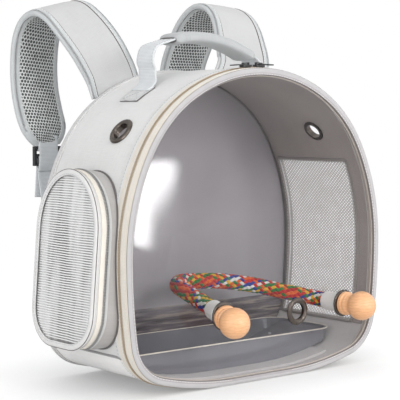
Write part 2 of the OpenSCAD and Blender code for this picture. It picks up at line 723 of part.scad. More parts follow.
function lock_top(s) = place(strap_end(s)) - [0, 0, 3 * gap];
module ladder_lock(s) color("black") handed(s) translate(lock_top(s) - [0, 2.2, 0]) rotate([90, 0, 0])
    translate([0, -lock_l, -4.4]) linear_extrude(4.4) difference() {
        translate([-lock_w / 2, 0]) square([lock_w, lock_l]);
        for (y = [3, lock_l - 8.5]) translate([-lock_w / 2 + 3, y]) square([lock_w - 6, 5.5]);
    }

// Lower webbing from the ladder lock to its anchor at the foot of the back panel
anchor_x = strap_left_x + 42;
anchor_z = 50;
anchor_t = 2.4;
function web_top(s) = lock_top(s) + [0, 0.1, -lock_l - 0.8];
web_foot = [anchor_x, y_back + anchor_t + 2 * gap + 0.8, anchor_z - 8];
// A row of the webbing: its shares of the way from the foot up to the lock
function web_row(s, fx, fy, fz) = let (d = web_top(s) - web_foot) concat(
    web_foot + [d[0] * fx, d[1] * fy, d[2] * fz], [1, 0, 0, strap_web_w / 2, 0.8]);
function web_rows(s) = [web_row(s, 1, 1, 1), web_row(s, 0.93, 0.96, 0.893), web_row(s, 0.75, 0.8, 0.658),
    web_row(s, 0.5, 0.53, 0.423), web_row(s, 0.25, 0.27, 0.275), web_row(s, 0.08, 0.075, 0.123),
    web_row(s, 0, 0, 0)];
module strap_webbing(s) color("lightgray") handed(s) strip(web_rows(s), 4, 8, 0.4);

// Loose end of the webbing, hanging from the ladder lock
function tail_rows(s) = [for (k = [0:4]) concat(lock_top(s) + [0.4 * k - 1, 3.3 + 0.5 * k,
    4 - lock_l - tail_l / 4 * k], [1, 0, 0, strap_web_w / 2, 0.8])];
module strap_tail(s) color("lightgray") handed(s) strip(tail_rows(s), 2, 8, 0.4);

module strap_anchor(s) color("silver") handed(s) translate([anchor_x, y_back + gap, anchor_z])
    slab(0, anchor_t) polygon([[-20, -22], [20, -22], [strap_web_w / 2 + 1, 12],
        [-strap_web_w / 2 - 1, 12]]);

// Pads on the back, one each side of an air channel
module back_pad() color("darkgray") for (s = [-1, 1]) strip([for (k = [0:8])
    let (e = min(k, 8 - k), f = e == 0 ? 0.72 : e == 1 ? 0.95 : 1)
    [s * (back_pad_w / 2 + 7), y_back + gap + back_pad_t / 2, 70 + 23 * k, 1, 0, 0,
        back_pad_w / 2 * f, back_pad_t / 2 * (e == 0 ? 0.5 : k % 3 == 0 ? 0.82 : 1)]], 2, 16);

// Door zip sliders and pulls
module zip_slider(a) color("black") on_arch(a, y_zip) slider_body();
module zip_pull(a) color("black") on_arch(a, y_zip) handed(sign(a)) pull_body();

shell_crown();
shell_side(-1);  // shell_left
shell_side(1);  // shell_right
base_panel();
base_board();
back_panel();
back_binding();
corner_piping();
wipe_strip();
hinge_strip();
shell_zip();
window_mesh();
window_binding();
vent_ring(-1);  // vent_ring_left
vent_ring(1);  // vent_ring_right
pocket_wall();
pocket_wall_zip();
pocket_rim();
pocket_mesh();
pocket_flap_zip();
pocket_slider();
pocket_pull();
door_wall();
door_zip();
window_sheet();
edge_binding();
door_ring(0);  // door_ring_left
door_ring(1);  // door_ring_middle
door_ring(2);  // door_ring_right
knob(0);  // knob_left
knob(2);  // knob_right
stud(0);  // stud_left
stud(2);  // stud_right
perch_cap(0);  // perch_cap_left
perch_cap(2);  // perch_cap_right
rope_perch();
zip_slider(slider_a_left);  // zip_slider_left
zip_slider(slider_a_right);  // zip_slider_right
zip_pull(slider_a_left);  // zip_pull_left
zip_pull(slider_a_right);  // zip_pull_right
tray();
handle_patch(-1);  // handle_patch_left
handle_patch(1);  // handle_patch_right
handle_webbing();
handle_grip();
strap_pad(-1);  // strap_pad_left
strap_pad(1);  // strap_pad_right
strap_lining(-1);  // strap_lining_left
strap_lining(1);  // strap_lining_right
ladder_lock(-1);  // ladder_lock_left
ladder_lock(1);  // ladder_lock_right
strap_webbing(-1);  // strap_webbing_left
strap_webbing(1);  // strap_webbing_right
strap_tail(-1);  // strap_tail_left
strap_tail(1);  // strap_tail_right
strap_anchor(-1);  // strap_anchor_left
strap_anchor(1);  // strap_anchor_right
back_pad();
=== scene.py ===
"""Backpack carrier for small birds: fabrics, zips, meshes, clear door, rope perch and straps
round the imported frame. Lengths are written in millimetres and scaled to metres on use."""
import math
import random
from bisect import bisect_right
from math import cos, hypot, pi, radians, sin

import bpy
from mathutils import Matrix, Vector, noise


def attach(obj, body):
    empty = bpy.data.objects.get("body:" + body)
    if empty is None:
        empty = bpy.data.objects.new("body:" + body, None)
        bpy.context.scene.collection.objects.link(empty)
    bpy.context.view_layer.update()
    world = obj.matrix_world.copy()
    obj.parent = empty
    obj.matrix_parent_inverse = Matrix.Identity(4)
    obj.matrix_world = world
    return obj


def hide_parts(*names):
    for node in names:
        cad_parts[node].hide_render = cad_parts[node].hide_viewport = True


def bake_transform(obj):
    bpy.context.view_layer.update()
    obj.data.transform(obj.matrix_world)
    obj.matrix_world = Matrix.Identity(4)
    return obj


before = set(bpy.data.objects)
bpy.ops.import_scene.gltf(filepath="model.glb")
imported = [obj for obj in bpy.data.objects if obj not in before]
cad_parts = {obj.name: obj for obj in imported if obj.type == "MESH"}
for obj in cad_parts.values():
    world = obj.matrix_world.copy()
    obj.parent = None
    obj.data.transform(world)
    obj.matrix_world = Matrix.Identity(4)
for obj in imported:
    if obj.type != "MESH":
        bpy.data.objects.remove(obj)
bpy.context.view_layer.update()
random.seed(7)
MM = 0.001

# Camera

CAMERA_AT = Vector((-945.5, -1119.2, 287.7)) * MM
CAMERA_AIM = Vector((-18.66, -2.0, 188.47)) * MM
LENS, SENSOR = 119.8, 36.0


def aim(obj, target):
    obj.rotation_euler = (target - obj.location).to_track_quat("-Z", "Y").to_euler()


def make_camera():
    data = bpy.data.cameras.new("camera")
    data.lens, data.sensor_width, data.clip_start = LENS, SENSOR, 0.05
    cam = bpy.data.objects.new("camera", data)
    bpy.context.scene.collection.objects.link(cam)
    cam.location = CAMERA_AT
    aim(cam, CAMERA_AIM)
    bpy.context.scene.camera = cam


make_camera()

# Materials

# Scale of a wave texture whose bands are one metre apart
WAVE = pi / 10


def rgb(r, g, b):
    """Linear colour of an sRGB one."""

    def lin(c):
        c /= 255
        return c / 12.92 if c <= 0.04045 else ((c + 0.055) / 1.055) ** 2.4

    return (lin(r), lin(g), lin(b), 1.0)


def tint(colour, share):
    return tuple(min(1, c * share) for c in colour[:3]) + (1,)


# Shaders by name
M = {}


class Shader:
    """A node material round one Principled shader, with short calls for the nodes used here."""

    def __init__(self, name, colour, rough=0.8, **sockets):
        M[name] = self
        self.mat = bpy.data.materials.new(name)
        self.mat.use_nodes = True
        self.tree = self.mat.node_tree
        self.bsdf, self.out = (self.tree.nodes[n] for n in ("Principled BSDF", "Material Output"))
        named = {key.replace("_", " "): value for key, value in sockets.items()}
        self.put(self.bsdf, {"Base Color": colour, "Roughness": rough, **named})

    def put(self, node, values):
        for key, value in values.items():
            if hasattr(value, "is_output"):
                self.tree.links.new(value, node.inputs[key])
            else:
                node.inputs[key].default_value = value

    def node(self, kind, values=None, out=0, **props):
        """Output of a new node with these settings and inputs."""
        n = self.tree.nodes.new("ShaderNode" + kind)
        for key, value in props.items():
            setattr(n, key, value)
        self.put(n, values or {})
        return n.outputs[out]

    def coords(self, kind="UV", scale=(1, 1, 1), turn=0.0):
        return self.node("Mapping", {"Vector": self.node("TexCoord", out=kind), "Scale": scale,
                                     "Rotation": (0, 0, radians(turn))})

    def noise(self, vec, scale, detail=3.0):
        return self.node("TexNoise", {"Vector": vec, "Scale": scale, "Detail": detail, "Roughness": 0.55}, "Fac")

    def wave(self, vec, scale, axis="X", distort=0.0, detail=1.0):
        return self.node("TexWave", {"Vector": vec, "Scale": scale, "Distortion": distort, "Detail": detail}, "Fac",
                         bands_direction=axis)

    def math(self, op, a, b=0.0, c=0.0):
        return self.node("Math", {0: a, 1: b, 2: c}, operation=op)

    def sum(self, a, share_a, b, share_b):
        return self.math("ADD", self.math("MULTIPLY", a, share_a), self.math("MULTIPLY", b, share_b))

    def vmath(self, op, a, b=(0, 0, 0)):
        return self.node("VectorMath", {0: a, 1: b}, "Value" if op == "LENGTH" else "Vector", operation=op)

    def ramp(self, fac, *stops):
        n = self.tree.nodes.new("ShaderNodeValToRGB")
        band = n.color_ramp.elements
        while len(band) < len(stops):
            band.new(0.5)
        for e, (at, colour) in zip(band, stops):
            e.position = at
            e.color = colour if hasattr(colour, "__len__") else (colour, colour, colour, 1)
        self.put(n, {"Fac": fac})
        return n.outputs["Color"]

    def mix(self, fac, a, b, blend="MIX"):
        return self.node("Mix", {"Factor": fac, 6: a, 7: b}, 2, data_type="RGBA", blend_type=blend)

    def colour(self, out):
        self.put(self.bsdf, {"Base Color": out})

    def bump(self, height, distance, strength):
        normal = self.node("Bump", {"Height": height, "Strength": strength, "Distance": distance * MM})
        self.put(self.bsdf, {"Normal": normal})
        return normal

    def roughness(self, fac, low, high):
        self.put(self.bsdf, {"Roughness": self.node("MapRange", {"Value": fac, "To Min": low, "To Max": high})})

    def surface(self, fac, a, b):
        """Shows shader a, and b by the share fac."""
        self.put(self.out, {"Surface": self.node("MixShader", {"Fac": fac, 1: a, 2: b})})

    def cells(self, vec, aspect):
        """Distance to the nearest point of a staggered grid, one unit apart across."""
        base = self.vmath("MULTIPLY", vec, (1, 1 / aspect, 0))

        def nearest(shift):
            moved = self.vmath("ADD", base, (shift, shift, 0))
            frac = self.vmath("SUBTRACT", self.vmath("FRACTION", moved), (0.5, 0.5, 0))
            return self.vmath("LENGTH", self.vmath("MULTIPLY", frac, (1, aspect, 0)))

        return self.math("MINIMUM", nearest(0.0), nearest(0.5))


def woven(name, colour, pitch, mottle, slub=0.35, depth=0.12):
    """Plain-woven cloth: crossing threads, slubs and a faint uneven tone, a little darker between the threads as
    painted shade.
    """
    s = Shader(name, colour, 0.85, Sheen_Weight=0.15, Sheen_Roughness=0.5)
    vec, k = s.coords(), WAVE / (pitch * MM)
    threads = s.mix(0.5, s.wave(vec, k, "X"), s.wave(vec, k, "Y"))
    long_x, long_y = (s.noise(s.coords("UV", scale), 1.0, 2) for scale in ((60, 900, 60), (900, 60, 900)))
    streak = s.math("MULTIPLY", s.math("ADD", long_x, long_y), 0.5)
    tone = s.ramp(s.sum(streak, slub * 2, s.noise(vec, 14, 3), 1 - slub * 1.1),
                  (0.3, tint(colour, 1 - 4 * mottle)), (0.7, tint(colour, 1 + 3 * mottle)))
    s.colour(s.mix(0.12, tone, s.ramp(threads, (0.2, 0.5), (0.8, 1.0)), "MULTIPLY"))
    s.bump(s.mix(0.25, threads, streak), depth, 0.7)


def ribbed(name, colour, pitch=1.1, depth=0.15):
    """Grosgrain or webbing: ribs across the length with finer threads along it; lighter on the ribs and darker between
    them as painted light and shade, with an uneven tone.
    """
    s = Shader(name, colour, 0.75, Sheen_Weight=0.2, Sheen_Roughness=0.4)
    vec, k = s.coords(), WAVE / (pitch * MM)
    height = s.mix(0.3, s.wave(vec, k, "X", 0.4), s.wave(vec, k * 1.7, "Y", 0.8))
    s.colour(s.ramp(s.sum(height, 0.6, s.noise(vec, 60, 3), 0.4),
                    (0.25, tint(colour, 0.82)), (0.7, tint(colour, 1.1))))
    s.bump(height, depth, 0.8)


def netted(name, strand, hole, pitch, aspect, radius, depth, turn=0.0, through=False):
    """Knitted mesh: rounded strands round staggered holes, open or in the hole colour; a dark hole colour is painted
    shade in the holes.
    """
    s = Shader(name, strand, 0.7, Sheen_Weight=0.1)
    d = s.cells(s.coords("UV", (1000 / pitch, 1000 / pitch, 1), turn), aspect)
    wobble = s.noise(s.coords("UV"), 90, 2)
    d = s.math("ADD", d, s.math("MULTIPLY", s.math("SUBTRACT", wobble, 0.5), 0.16))
    edge = s.ramp(d, (radius - 0.05, 1.0), (radius + 0.05, 0.0))
    strands = s.ramp(s.noise(s.coords("UV"), 500, 2), (0.3, strand), (0.7, tint(strand, 1.12)))
    s.colour(s.mix(edge, strands, hole))
    s.bump(s.ramp(d, (radius - 0.1, 0.0), (radius + 0.25, 1.0)), depth, 0.9)
    if through:
        s.surface(edge, s.bsdf.outputs[0], s.node("BsdfTransparent"))


def moulded(name, colour, rough, tone=0.12, scale=700, low=0.35, high=0.6, depth=0.05, **sockets):
    """Small moulded, plated or spun pieces: uneven tone and sheen and a fine surface."""
    s = Shader(name, colour, rough, **sockets)
    n = s.noise(s.coords("Object"), scale, 4)
    s.colour(s.ramp(n, (0.3, tint(colour, 1 - tone)), (0.7, tint(colour, 1 + tone))))
    s.roughness(n, low, high)
    s.bump(s.noise(s.coords("Object"), scale * 6, 2), depth, 0.4)


def cotton(name, colour):
    s = Shader(name, colour, 0.85, Sheen_Weight=0.1)
    twist = s.wave(s.coords("UV", (1, 1, 1), 35), WAVE / (0.7 * MM), "X", 0.6)
    # Darker in the grooves of the twist: painted shade, with an uneven tone
    s.colour(s.ramp(s.sum(twist, 0.6, s.noise(s.coords(), 300, 2), 0.4), (0.15, tint(colour, 0.6)), (0.6, colour)))
    s.bump(twist, 0.25, 0.8)


# Kind, then name, sRGB colour and the kind's own values
for kind, name, red, green, blue, *rest in (
        (woven, "shell_cloth", 212, 212, 211, 0.9, 0.025), (woven, "door_cloth", 222, 217, 207, 0.9, 0.02),
        (woven, "base_cloth", 234, 233, 232, 1.0, 0.03), (woven, "back_lining", 156, 152, 155, 0.8, 0.02, 0.2),
        (woven, "side_lining", 160, 152, 148, 0.8, 0.03, 0.2), (woven, "floor_cloth", 196, 193, 192, 0.9, 0.03),
        (woven, "strap_cloth", 190, 190, 190, 1.0, 0.02), (woven, "grip_cloth", 176, 178, 179, 1.0, 0.03),
        # wall_grey: the shell's cloth in a darker grey, painted shade on the pocket's wall
        (woven, "wall_grey", 170, 167, 165, 0.9, 0.03), (woven, "back_cloth", 196, 198, 200, 1.0, 0.03),
        (woven, "pocket_sheer", 200, 200, 200, 0.8, 0.03, 0.35, 0.05),
        (ribbed, "binding_grey", 206, 205, 204), (ribbed, "binding_pocket", 220, 219, 218),
        (ribbed, "binding_warm", 220, 212, 198, 1.1, 0.1), (ribbed, "binding_strap", 194, 197, 198),
        (ribbed, "binding_front", 180, 178, 179, 1.1, 0.1), (ribbed, "binding_welt", 166, 161, 163, 1.1, 0.06),
        (ribbed, "binding_window", 152, 146, 142, 1.1, 0.1), (ribbed, "seam_grey", 150, 149, 148, 1.1, 0.1),
        (ribbed, "binding_dark", 104, 100, 99, 1.1, 0.1), (ribbed, "patch_cloth", 206, 206, 206, 1.5, 0.22),
        (ribbed, "webbing_grey", 212, 215, 217, 1.5, 0.22), (ribbed, "tape_cream", 222, 216, 206, 0.9, 0.08),
        (ribbed, "tape_grey", 196, 197, 196, 0.9, 0.08), (ribbed, "tape_brown", 196, 186, 176, 0.9, 0.08),
        (ribbed, "rib_white", 236, 237, 236, 0.9, 0.05),
        # Dark hole colours of air_mesh and back_mesh are painted shade in the mesh's holes
        (netted, "air_mesh", 208, 210, 209, rgb(66, 70, 68), 4.5, 1.55, 0.355, 0.8, 24),
        (netted, "back_mesh", 172, 175, 175, rgb(70, 74, 73), 4.2, 1.6, 0.33, 0.9),
        (netted, "window_net", 186, 181, 177, rgb(235, 235, 235), 3.9, 1.2, 0.25, 0.4, 0, True),
        (moulded, "coil_beige", 176, 158, 134, 0.45), (moulded, "coil_grey", 140, 140, 140, 0.45),
        (moulded, "thread_grey", 176, 180, 182, 0.7), (moulded, "thread_pale", 226, 226, 222, 0.7),
        (moulded, "slider_black", 34, 34, 36, 0.3, 0.2, 150, 0.22, 0.45, 0.03),
        (moulded, "nylon_black", 38, 39, 41, 0.45, 0.2, 150, 0.38, 0.6, 0.06),
        (moulded, "cap_white", 252, 253, 248, 0.35, 0.04, 60, 0.3, 0.45, 0.04),
        # rim_warm: warm white, a painted highlight along the tray's rim
        (moulded, "rim_warm", 222, 214, 200, 0.25, 0.05, 60, 0.2, 0.35, 0.03),
        (cotton, "rope_dark", 70, 40, 40), (cotton, "rope_cotton_0", 206, 28, 22),
        (cotton, "rope_cotton_1", 30, 120, 46), (cotton, "rope_cotton_2", 238, 234, 228),
        (cotton, "rope_cotton_3", 232, 104, 30), (cotton, "rope_cotton_4", 238, 184, 40),
        (cotton, "rope_cotton_5", 26, 56, 150), (cotton, "rope_cotton_6", 190, 24, 26),
        (cotton, "rope_cotton_7", 34, 124, 66)):
    kind(name, rgb(red, green, blue), *rest)
ROPE_COLOURS = 8

moulded("ring_metal", rgb(92, 85, 80), 0.25, 0.15, 90, 0.16, 0.34, 0.03, Metallic=1.0)
moulded("steel", rgb(190, 190, 188), 0.3, 0.1, 200, 0.2, 0.4, 0.03, Metallic=1.0)
moulded("tray_grey", rgb(122, 122, 127), 0.12, 0.06, 12, 0.08, 0.2, 0.08, Coat_Weight=0.6, Coat_Roughness=0.04)


def paint_sheer_shade(s):
    """Painted shade: dark streaks in the sheer cloth's colour for the shadowed pocket seen behind it."""
    behind = s.noise(s.coords("Object", (1, 60, 9)), 1.0, 2)
    s.colour(s.ramp(behind, (0.36, rgb(104, 102, 102)), (0.62, rgb(206, 205, 205))))


def make_wipe_film():
    s = Shader("wipe_film", rgb(110, 100, 104), 0.12, Coat_Weight=0.8, Coat_Roughness=0.03)
    # Painted reflection and shade: light and dark streaks in the film's colour stand in for what its glossy face
    # mirrors
    n = s.noise(s.coords("Object", (5, 5, 60)), 3, 4)
    s.colour(s.ramp(n, (0.3, rgb(60, 52, 56)), (0.5, rgb(104, 97, 101)), (0.62, rgb(150, 140, 132)),
                    (0.75, rgb(74, 66, 70))))
    s.bump(n, 0.8, 0.6)


def make_wood():
    s = Shader("wood", rgb(226, 168, 118), 0.42, Coat_Weight=0.15, Coat_Roughness=0.2)
    vec = s.coords("Object")
    grain = s.wave(vec, 95, "Z", 5.0, 3)
    fibre = s.noise(s.coords("Object", (60, 60, 900)), 3, 3)
    tone = s.ramp(grain, (0.0, rgb(214, 152, 103)), (0.55, rgb(234, 180, 132)), (1.0, rgb(226, 168, 119)))
    shade = s.mix(0.35, tone, s.ramp(s.noise(vec, 30, 3), (0.3, rgb(212, 150, 102)), (0.7, rgb(244, 196, 150))))
    s.colour(s.mix(0.25, shade, s.ramp(fibre, (0.35, rgb(196, 134, 88)), (0.6, rgb(244, 198, 154)))))
    s.roughness(fibre, 0.34, 0.52)
    s.bump(s.mix(0.5, grain, fibre), 0.12, 0.6)


def make_clear():
    """Clear vinyl: sees straight through, and reflects more at a flat angle."""
    s = Shader("clear_vinyl", (0.02, 0.02, 0.02, 1), 0.035, IOR=1.5)
    normal = s.bump(s.noise(s.coords("Object", (3.0, 1, 1.4)), 3.0, 1), 5, 0.35)
    rise = s.math("POWER", s.node("LayerWeight", {"Blend": 0.5}, "Facing"), 4.0)
    clear = s.node("BsdfTransparent", {"Color": (0.975, 0.975, 0.98, 1)})
    gloss = s.node("BsdfGlossy", {"Roughness": 0.07, "Color": (1, 1, 1, 1), "Normal": normal})
    s.surface(s.math("ADD", s.math("MULTIPLY", rise, 0.6), 0.012), clear, gloss)


paint_sheer_shade(M["pocket_sheer"])
make_wipe_film()
make_wood()
make_clear()

# Mesh building


def lengths(points):
    out = [0.0]
    for a, b in zip(points, points[1:]):
        out.append(out[-1] + (Vector(b) - Vector(a)).length)
    return out


class Build:
    """Gathers points, faces, corner coordinates and material numbers for one object."""

    def __init__(self, *skins, **kw):
        self.verts, self.faces, self.uvs, self.mats = [], [], [], []
        for rows in skins:
            self.skin(rows, **kw)

    def skin(self, rows, ring=False, ends=False, mat=0, flip=False, loop=False):
        """Faces over rows of points. ring joins each row's end to its start, ends closes the first
        and last row, loop joins the last row to the first."""
        n, m, base = len(rows), len(rows[0]), len(self.verts)
        along = lengths([r[0] for r in rows] + ([rows[0][0]] if loop else []))
        mid = rows[n // 2]
        wide = lengths(list(mid) + ([mid[0]] if ring else []))
        verts = [Vector(p) for r in rows for p in r]
        faces, uvs = [], []
        for i in range(n if loop else n - 1):
            for j in range(m if ring else m - 1):
                corners = [(i, j), (i, j + 1), (i + 1, j + 1), (i + 1, j)]
                if flip:
                    corners.reverse()
                faces.append([p % n * m + q % m for p, q in corners])
                uvs.append([(along[p], wide[q]) for p, q in corners])
        if ends:
            for i, order in ((0, 1), (n - 1, -1)):
                idx = [i * m + j for j in range(m)][::order if flip else -order]
                faces.append(idx)
                uvs.append([(verts[k].x, verts[k].y + verts[k].z) for k in idx])
        self.verts += verts
        self.faces += [[base + i for i in f] for f in faces]
        self.uvs += uvs
        self.mats += [mat] * len(faces)

    def object(self, name, body, shaders, slot, replaces=""):
        """The named object; shaders and replaces are names with spaces between them."""
        me = bpy.data.meshes.new(name)
        me.from_pydata([tuple(v) for v in self.verts], [], self.faces)
        layer = me.uv_layers.new(name="UVMap")
        layer.data.foreach_set("uv", [c for face in self.uvs for uv in face for c in uv])
        for each in shaders.split():
            me.materials.append(M[each].mat)
        me.polygons.foreach_set("material_index", self.mats)
        me.polygons.foreach_set("use_smooth", [True] * len(me.polygons))
        me.update()
        obj = bpy.data.objects.new(name, me)
        bpy.context.scene.collection.objects.link(obj)
        if body:
            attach(obj, body)
        if replaces:
            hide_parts(*replaces.split())
        return obj


def plate(rows_out, rows_in, loop=False, mat_in=0, mat_edge=0, into=None):
    """Closed shell between two matching grids, with edges where the grids end."""
    b = into or Build()
    b.skin(rows_out, loop=loop)
    b.skin(rows_in, mat=mat_in, flip=True, loop=loop)
    if not loop:
        for i, flip in ((0, False), (-1, True)):
            b.skin([rows_in[i], rows_out[i]], mat=mat_edge, flip=flip)
    for j, flip in ((0, True), (-1, False)):
        b.skin([[r[j] for r in rows_in], [r[j] for r in rows_out]], loop, mat=mat_edge, flip=flip)
    return b


def weld(obj):
    """Joins points that coincide, so that normals run over the edges."""
    obj.modifiers.new("weld", "WELD").merge_threshold = 0.01 * MM
    return obj


def curve(points, m):
    """Catmull-Rom curve through rows of numbers."""
    rows = []
    last = len(points) - 1
    for i in range(last):
        near = [points[max(0, min(last, i + k))] for k in (-1, 0, 1, 2)]
        for t in (k / m for k in range(m)):
            rows.append([0.5 * (2 * b + (c - a) * t + (2 * a - 5 * b + 4 * c - d) * t * t
                                + (3 * b - a - 3 * c + d) * t * t * t) for a, b, c, d in zip(*near)])
    rows.append(list(points[last]))
    return rows


def walk(s, n):
    """Where n + 1 even stops lie on a line with lengths s: the index before each and the share after it."""
    i = 0
    for k in range(n + 1):
        at = s[-1] * k / n
        while i < len(s) - 2 and s[i + 1] < at:
            i += 1
        yield i, (at - s[i]) / max(1e-9, s[i + 1] - s[i])


def even(points, step):
    """The same polyline with points about one step apart."""
    s = lengths(points)
    return [Vector(points[i]).lerp(Vector(points[i + 1]), f) for i, f in walk(s, max(2, int(round(s[-1] / step))))]


def half_way(lo, hi, beyond, steps=50):
    """The value between lo and hi up to which beyond holds."""
    for _ in range(steps):
        mid = (lo + hi) / 2
        lo, hi = (mid, hi) if beyond(mid) else (lo, mid)
    return lo


def at_length(s, d):
    """The index before a length d of the list s, and the share after it."""
    i = min(max(0, bisect_right(s, d) - 1), len(s) - 2)
    return i, (d - s[i]) / max(1e-9, s[i + 1] - s[i])


def span(a, b, step):
    n = max(1, int(round((b - a) / step)))
    return [a + (b - a) * k / n for k in range(n + 1)]


def circle(n):
    """Cosine and sine of n even turns."""
    return [(cos(2 * pi * k / n), sin(2 * pi * k / n)) for k in range(n)]


def oval(centre, u, v, half_u, half_v, n):
    """Ring of n points round a centre, in the directions u and v."""
    return [centre + (u * (half_u * x) + v * (half_v * y)) * MM for x, y in circle(n)]


def soft(x, y, z, size, amount):
    """Smooth unevenness of cloth at a point in millimetres."""
    return noise.noise(Vector((x, y, z)) / size) * amount


def bow(v, e):
    return math.copysign(abs(v) ** e, v)


def stitches(name, lines, body, shader, slot, pitch, length, r):
    """Thread stitches along lines of points with normals, half sunk in the cloth."""
    b = Build()
    for line, normals in lines:
        s = lengths(line)
        total = s[-1] / MM

        def at(d):
            i, f = at_length(s, min(max(d * MM, 0.0), s[-1]))
            up = normals[i].lerp(normals[i + 1], f) if isinstance(normals, list) else normals
            return line[i].lerp(line[i + 1], f), up.normalized()

        n = int(total / pitch)
        for k in range(n):
            d0 = (k + 0.5) * total / n - length / 2
            rows = []
            for f, w in ((0.0, 0.35), (0.18, 0.9), (0.5, 1.0), (0.82, 0.9), (1.0, 0.35)):
                p, up = at(d0 + length * f)
                t = at(d0 + length * f + 0.2)[0] - p
                t = t.normalized() if t.length > 1e-9 else Vector((0, 0, 1))
                rows.append(oval(p + up * (0.12 * w - 0.05) * MM, t.cross(up).normalized(), up, r * w, r * w, 6))
            b.skin(rows, ring=True, ends=True)
    return b.object(name, body, shader, slot)


COIL_W, COIL_H, COIL_PITCH = 1.5, 0.85, 1.45


def zip_coil(name, line, normals, out, body, shader, slot):
    """Coil of a zip half: a small loop over the tape's edge at each pitch."""
    b = Build()
    s = lengths(line)
    pts = even(line, s[-1] / int(s[-1] / MM / COIL_PITCH))
    for k in range(len(pts) - 1):
        f = k / (len(pts) - 1) * (len(normals) - 1)
        i = min(len(normals) - 2, int(f))
        up = normals[i].lerp(normals[i + 1], f - i).normalized()
        t = (pts[k + 1] - pts[k]).normalized()
        rows = []
        for q in range(6):
            u = q / 5
            rise = 0.35 + 0.65 * sin(pi * min(1, u * 1.15)) ** 0.5
            c = pts[k] + (out * (COIL_W * (u - 0.02)) + up * (COIL_H * rise) + t * (COIL_PITCH * 0.35 * u)) * MM
            w = COIL_PITCH * 0.36 * (1.0 if 0 < q < 5 else 0.8)
            rows.append(oval(c, t, up, w, w, 5))
        b.skin(rows, ring=True, ends=True)
    b.object(name, body, shader, slot)


# Outline of the shell, the same arcs as the frame's

WIDTH, HEIGHT, WIDE_Z = 356.0, 330.0, 138.0
TOP_R, CORNER_R, FLOOR_R = 185.0, 50.0, 372.0
TURNS = [0, 33, 62, 90, 98, 165, 180]
Y_ZIP, Y_BACK, WALL, BACK_T = -71.0, 71.0, 3.0, 4.0
Y_WALL = Y_BACK - BACK_T
Y_SHEET = -82.0
SEAM_Z, HINGE_W = 40.0, 160.0


def arcs():
    (s1, c1), (s2, c2), (_, c4), (_, c5) = ((sin(radians(TURNS[k])), cos(radians(TURNS[k]))) for k in (1, 2, 4, 5))
    rx = WIDTH / 2 - TOP_R * s1
    rz = HEIGHT - WIDE_Z - TOP_R * (1 - c1)
    det = (s2 - s1) * c2 - (1 - s2) * (c1 - c2)
    shoulder = (rx * c2 - rz * (1 - s2)) / det
    flank = ((s2 - s1) * rz - (c1 - c2) * rx) / det
    side = (WIDE_Z - CORNER_R * (c4 - c5) - FLOOR_R * (c5 + 1)) / -c4
    radii = [TOP_R, shoulder, flank, side, CORNER_R, FLOOR_R]
    centres = [(0.0, HEIGHT - TOP_R)]
    for i in range(1, 6):
        a, step = radians(TURNS[i]), radii[i - 1] - radii[i]
        centres.append((centres[-1][0] + step * sin(a), centres[-1][1] + step * cos(a)))
    return radii, centres


RADII, CENTRES = arcs()


def rim(a, d=0.0):
    """Point (x, z) of the outline at a signed angle from the top, d inside it."""
    a = (a + 180) % 360 - 180
    i = max(k for k in range(6) if abs(a) >= TURNS[k])
    r = radians(abs(a))
    return (math.copysign(CENTRES[i][0] + (RADII[i] - d) * sin(r), a), CENTRES[i][1] + (RADII[i] - d) * cos(r))


def rim_angles(a0, a1, step):
    """Signed angles from a0 to a1 whose points lie about one step apart."""
    fine = [a0 + (a1 - a0) * k / 4000 for k in range(4001)]
    s = [0.0]
    for p, q in zip(fine, fine[1:]):
        s.append(s[-1] + math.dist(rim(p), rim(q)))
    return [fine[i] + (fine[i + 1] - fine[i]) * f for i, f in walk(s, max(2, int(round(s[-1] / step))))]


def on_rim(a, y, d=0.0):
    x, z = rim(a, d)
    return Vector((x, y, z)) * MM


def rim_normal(a):
    return Vector((sin(radians(a)), 0, cos(radians(a))))


def angle_at_z(z):
    return half_way(90.0, 180.0, lambda a: rim(a)[1] > z)


def angle_at_x(x):
    return half_way(98.0, 180.0, lambda a: rim(a)[0] > x)


def grounded(p, low=0.3):
    """Keeps a point just above the ground."""
    return p if low is None else Vector((p.x, p.y, max(p.z, low * MM)))


A_SEAM = angle_at_z(SEAM_Z)
A_HINGE = angle_at_x(HINGE_W / 2)
LOOP = rim_angles(-180, 180, 3.0)[:-1]
OPEN_LOOP = rim_angles(-A_HINGE, A_HINGE, 3.0)


def rim_line(angles, y, d, low=None):
    """A line along the outline and its normals; d is an inset, or gives one for an angle."""
    return ([grounded(on_rim(a, y, d(a) if callable(d) else d), low) for a in angles],
            [rim_normal(a) for a in angles])


def around(name, body, shaders, slot, section, replaces="", angles=None, low=0.3, tones=None):
    """Sweeps a closed section [(y, d)] along the outline, d inwards. tones numbers its materials."""
    rows = [[grounded(on_rim(a, y, d), low) for y, d in section] for a in angles or LOOP]
    b = Build(rows, ring=True, loop=not angles, ends=bool(angles), flip=True)
    if tones:
        b.mats = [tones[k % len(section)] for k in range(len(b.mats))]
    return b.object(name, body, shaders, slot, replaces)


def rounded(y0, y1, d0, d1, r, n=3):
    """Corners of a rectangle, each rounded in n steps."""
    r = min(r, (y1 - y0) / 2 - 1e-3, (d1 - d0) / 2 - 1e-3)
    out = []
    for y, d, a0 in ((y1 - r, d1 - r, 0), (y0 + r, d1 - r, 90), (y0 + r, d0 + r, 180), (y1 - r, d0 + r, 270)):
        out += [(y + r * cos(radians(a0 + 90 * k / n)), d + r * sin(radians(a0 + 90 * k / n))) for k in range(n + 1)]
    return out


# Shell walls

PUFF = 0.7
WIN_Y0, WIN_Y1 = -51.0, 59.0
VENT_A, VENT_Y, VENT_R = 53.0, -21.0, 10.35
VENT_Z = rim(VENT_A)[1]
WIN_Z0, WIN_Z1 = 44.0, VENT_Z - 36.7
SHELL_Y = span(Y_ZIP + 0.06, -61.4, 3.0) + [-60.9, -60.4] + span(-59.6, Y_WALL, 3.2)
# Angle to each side of the base seam at which it is stitched
SEAM_OFF = 2.0


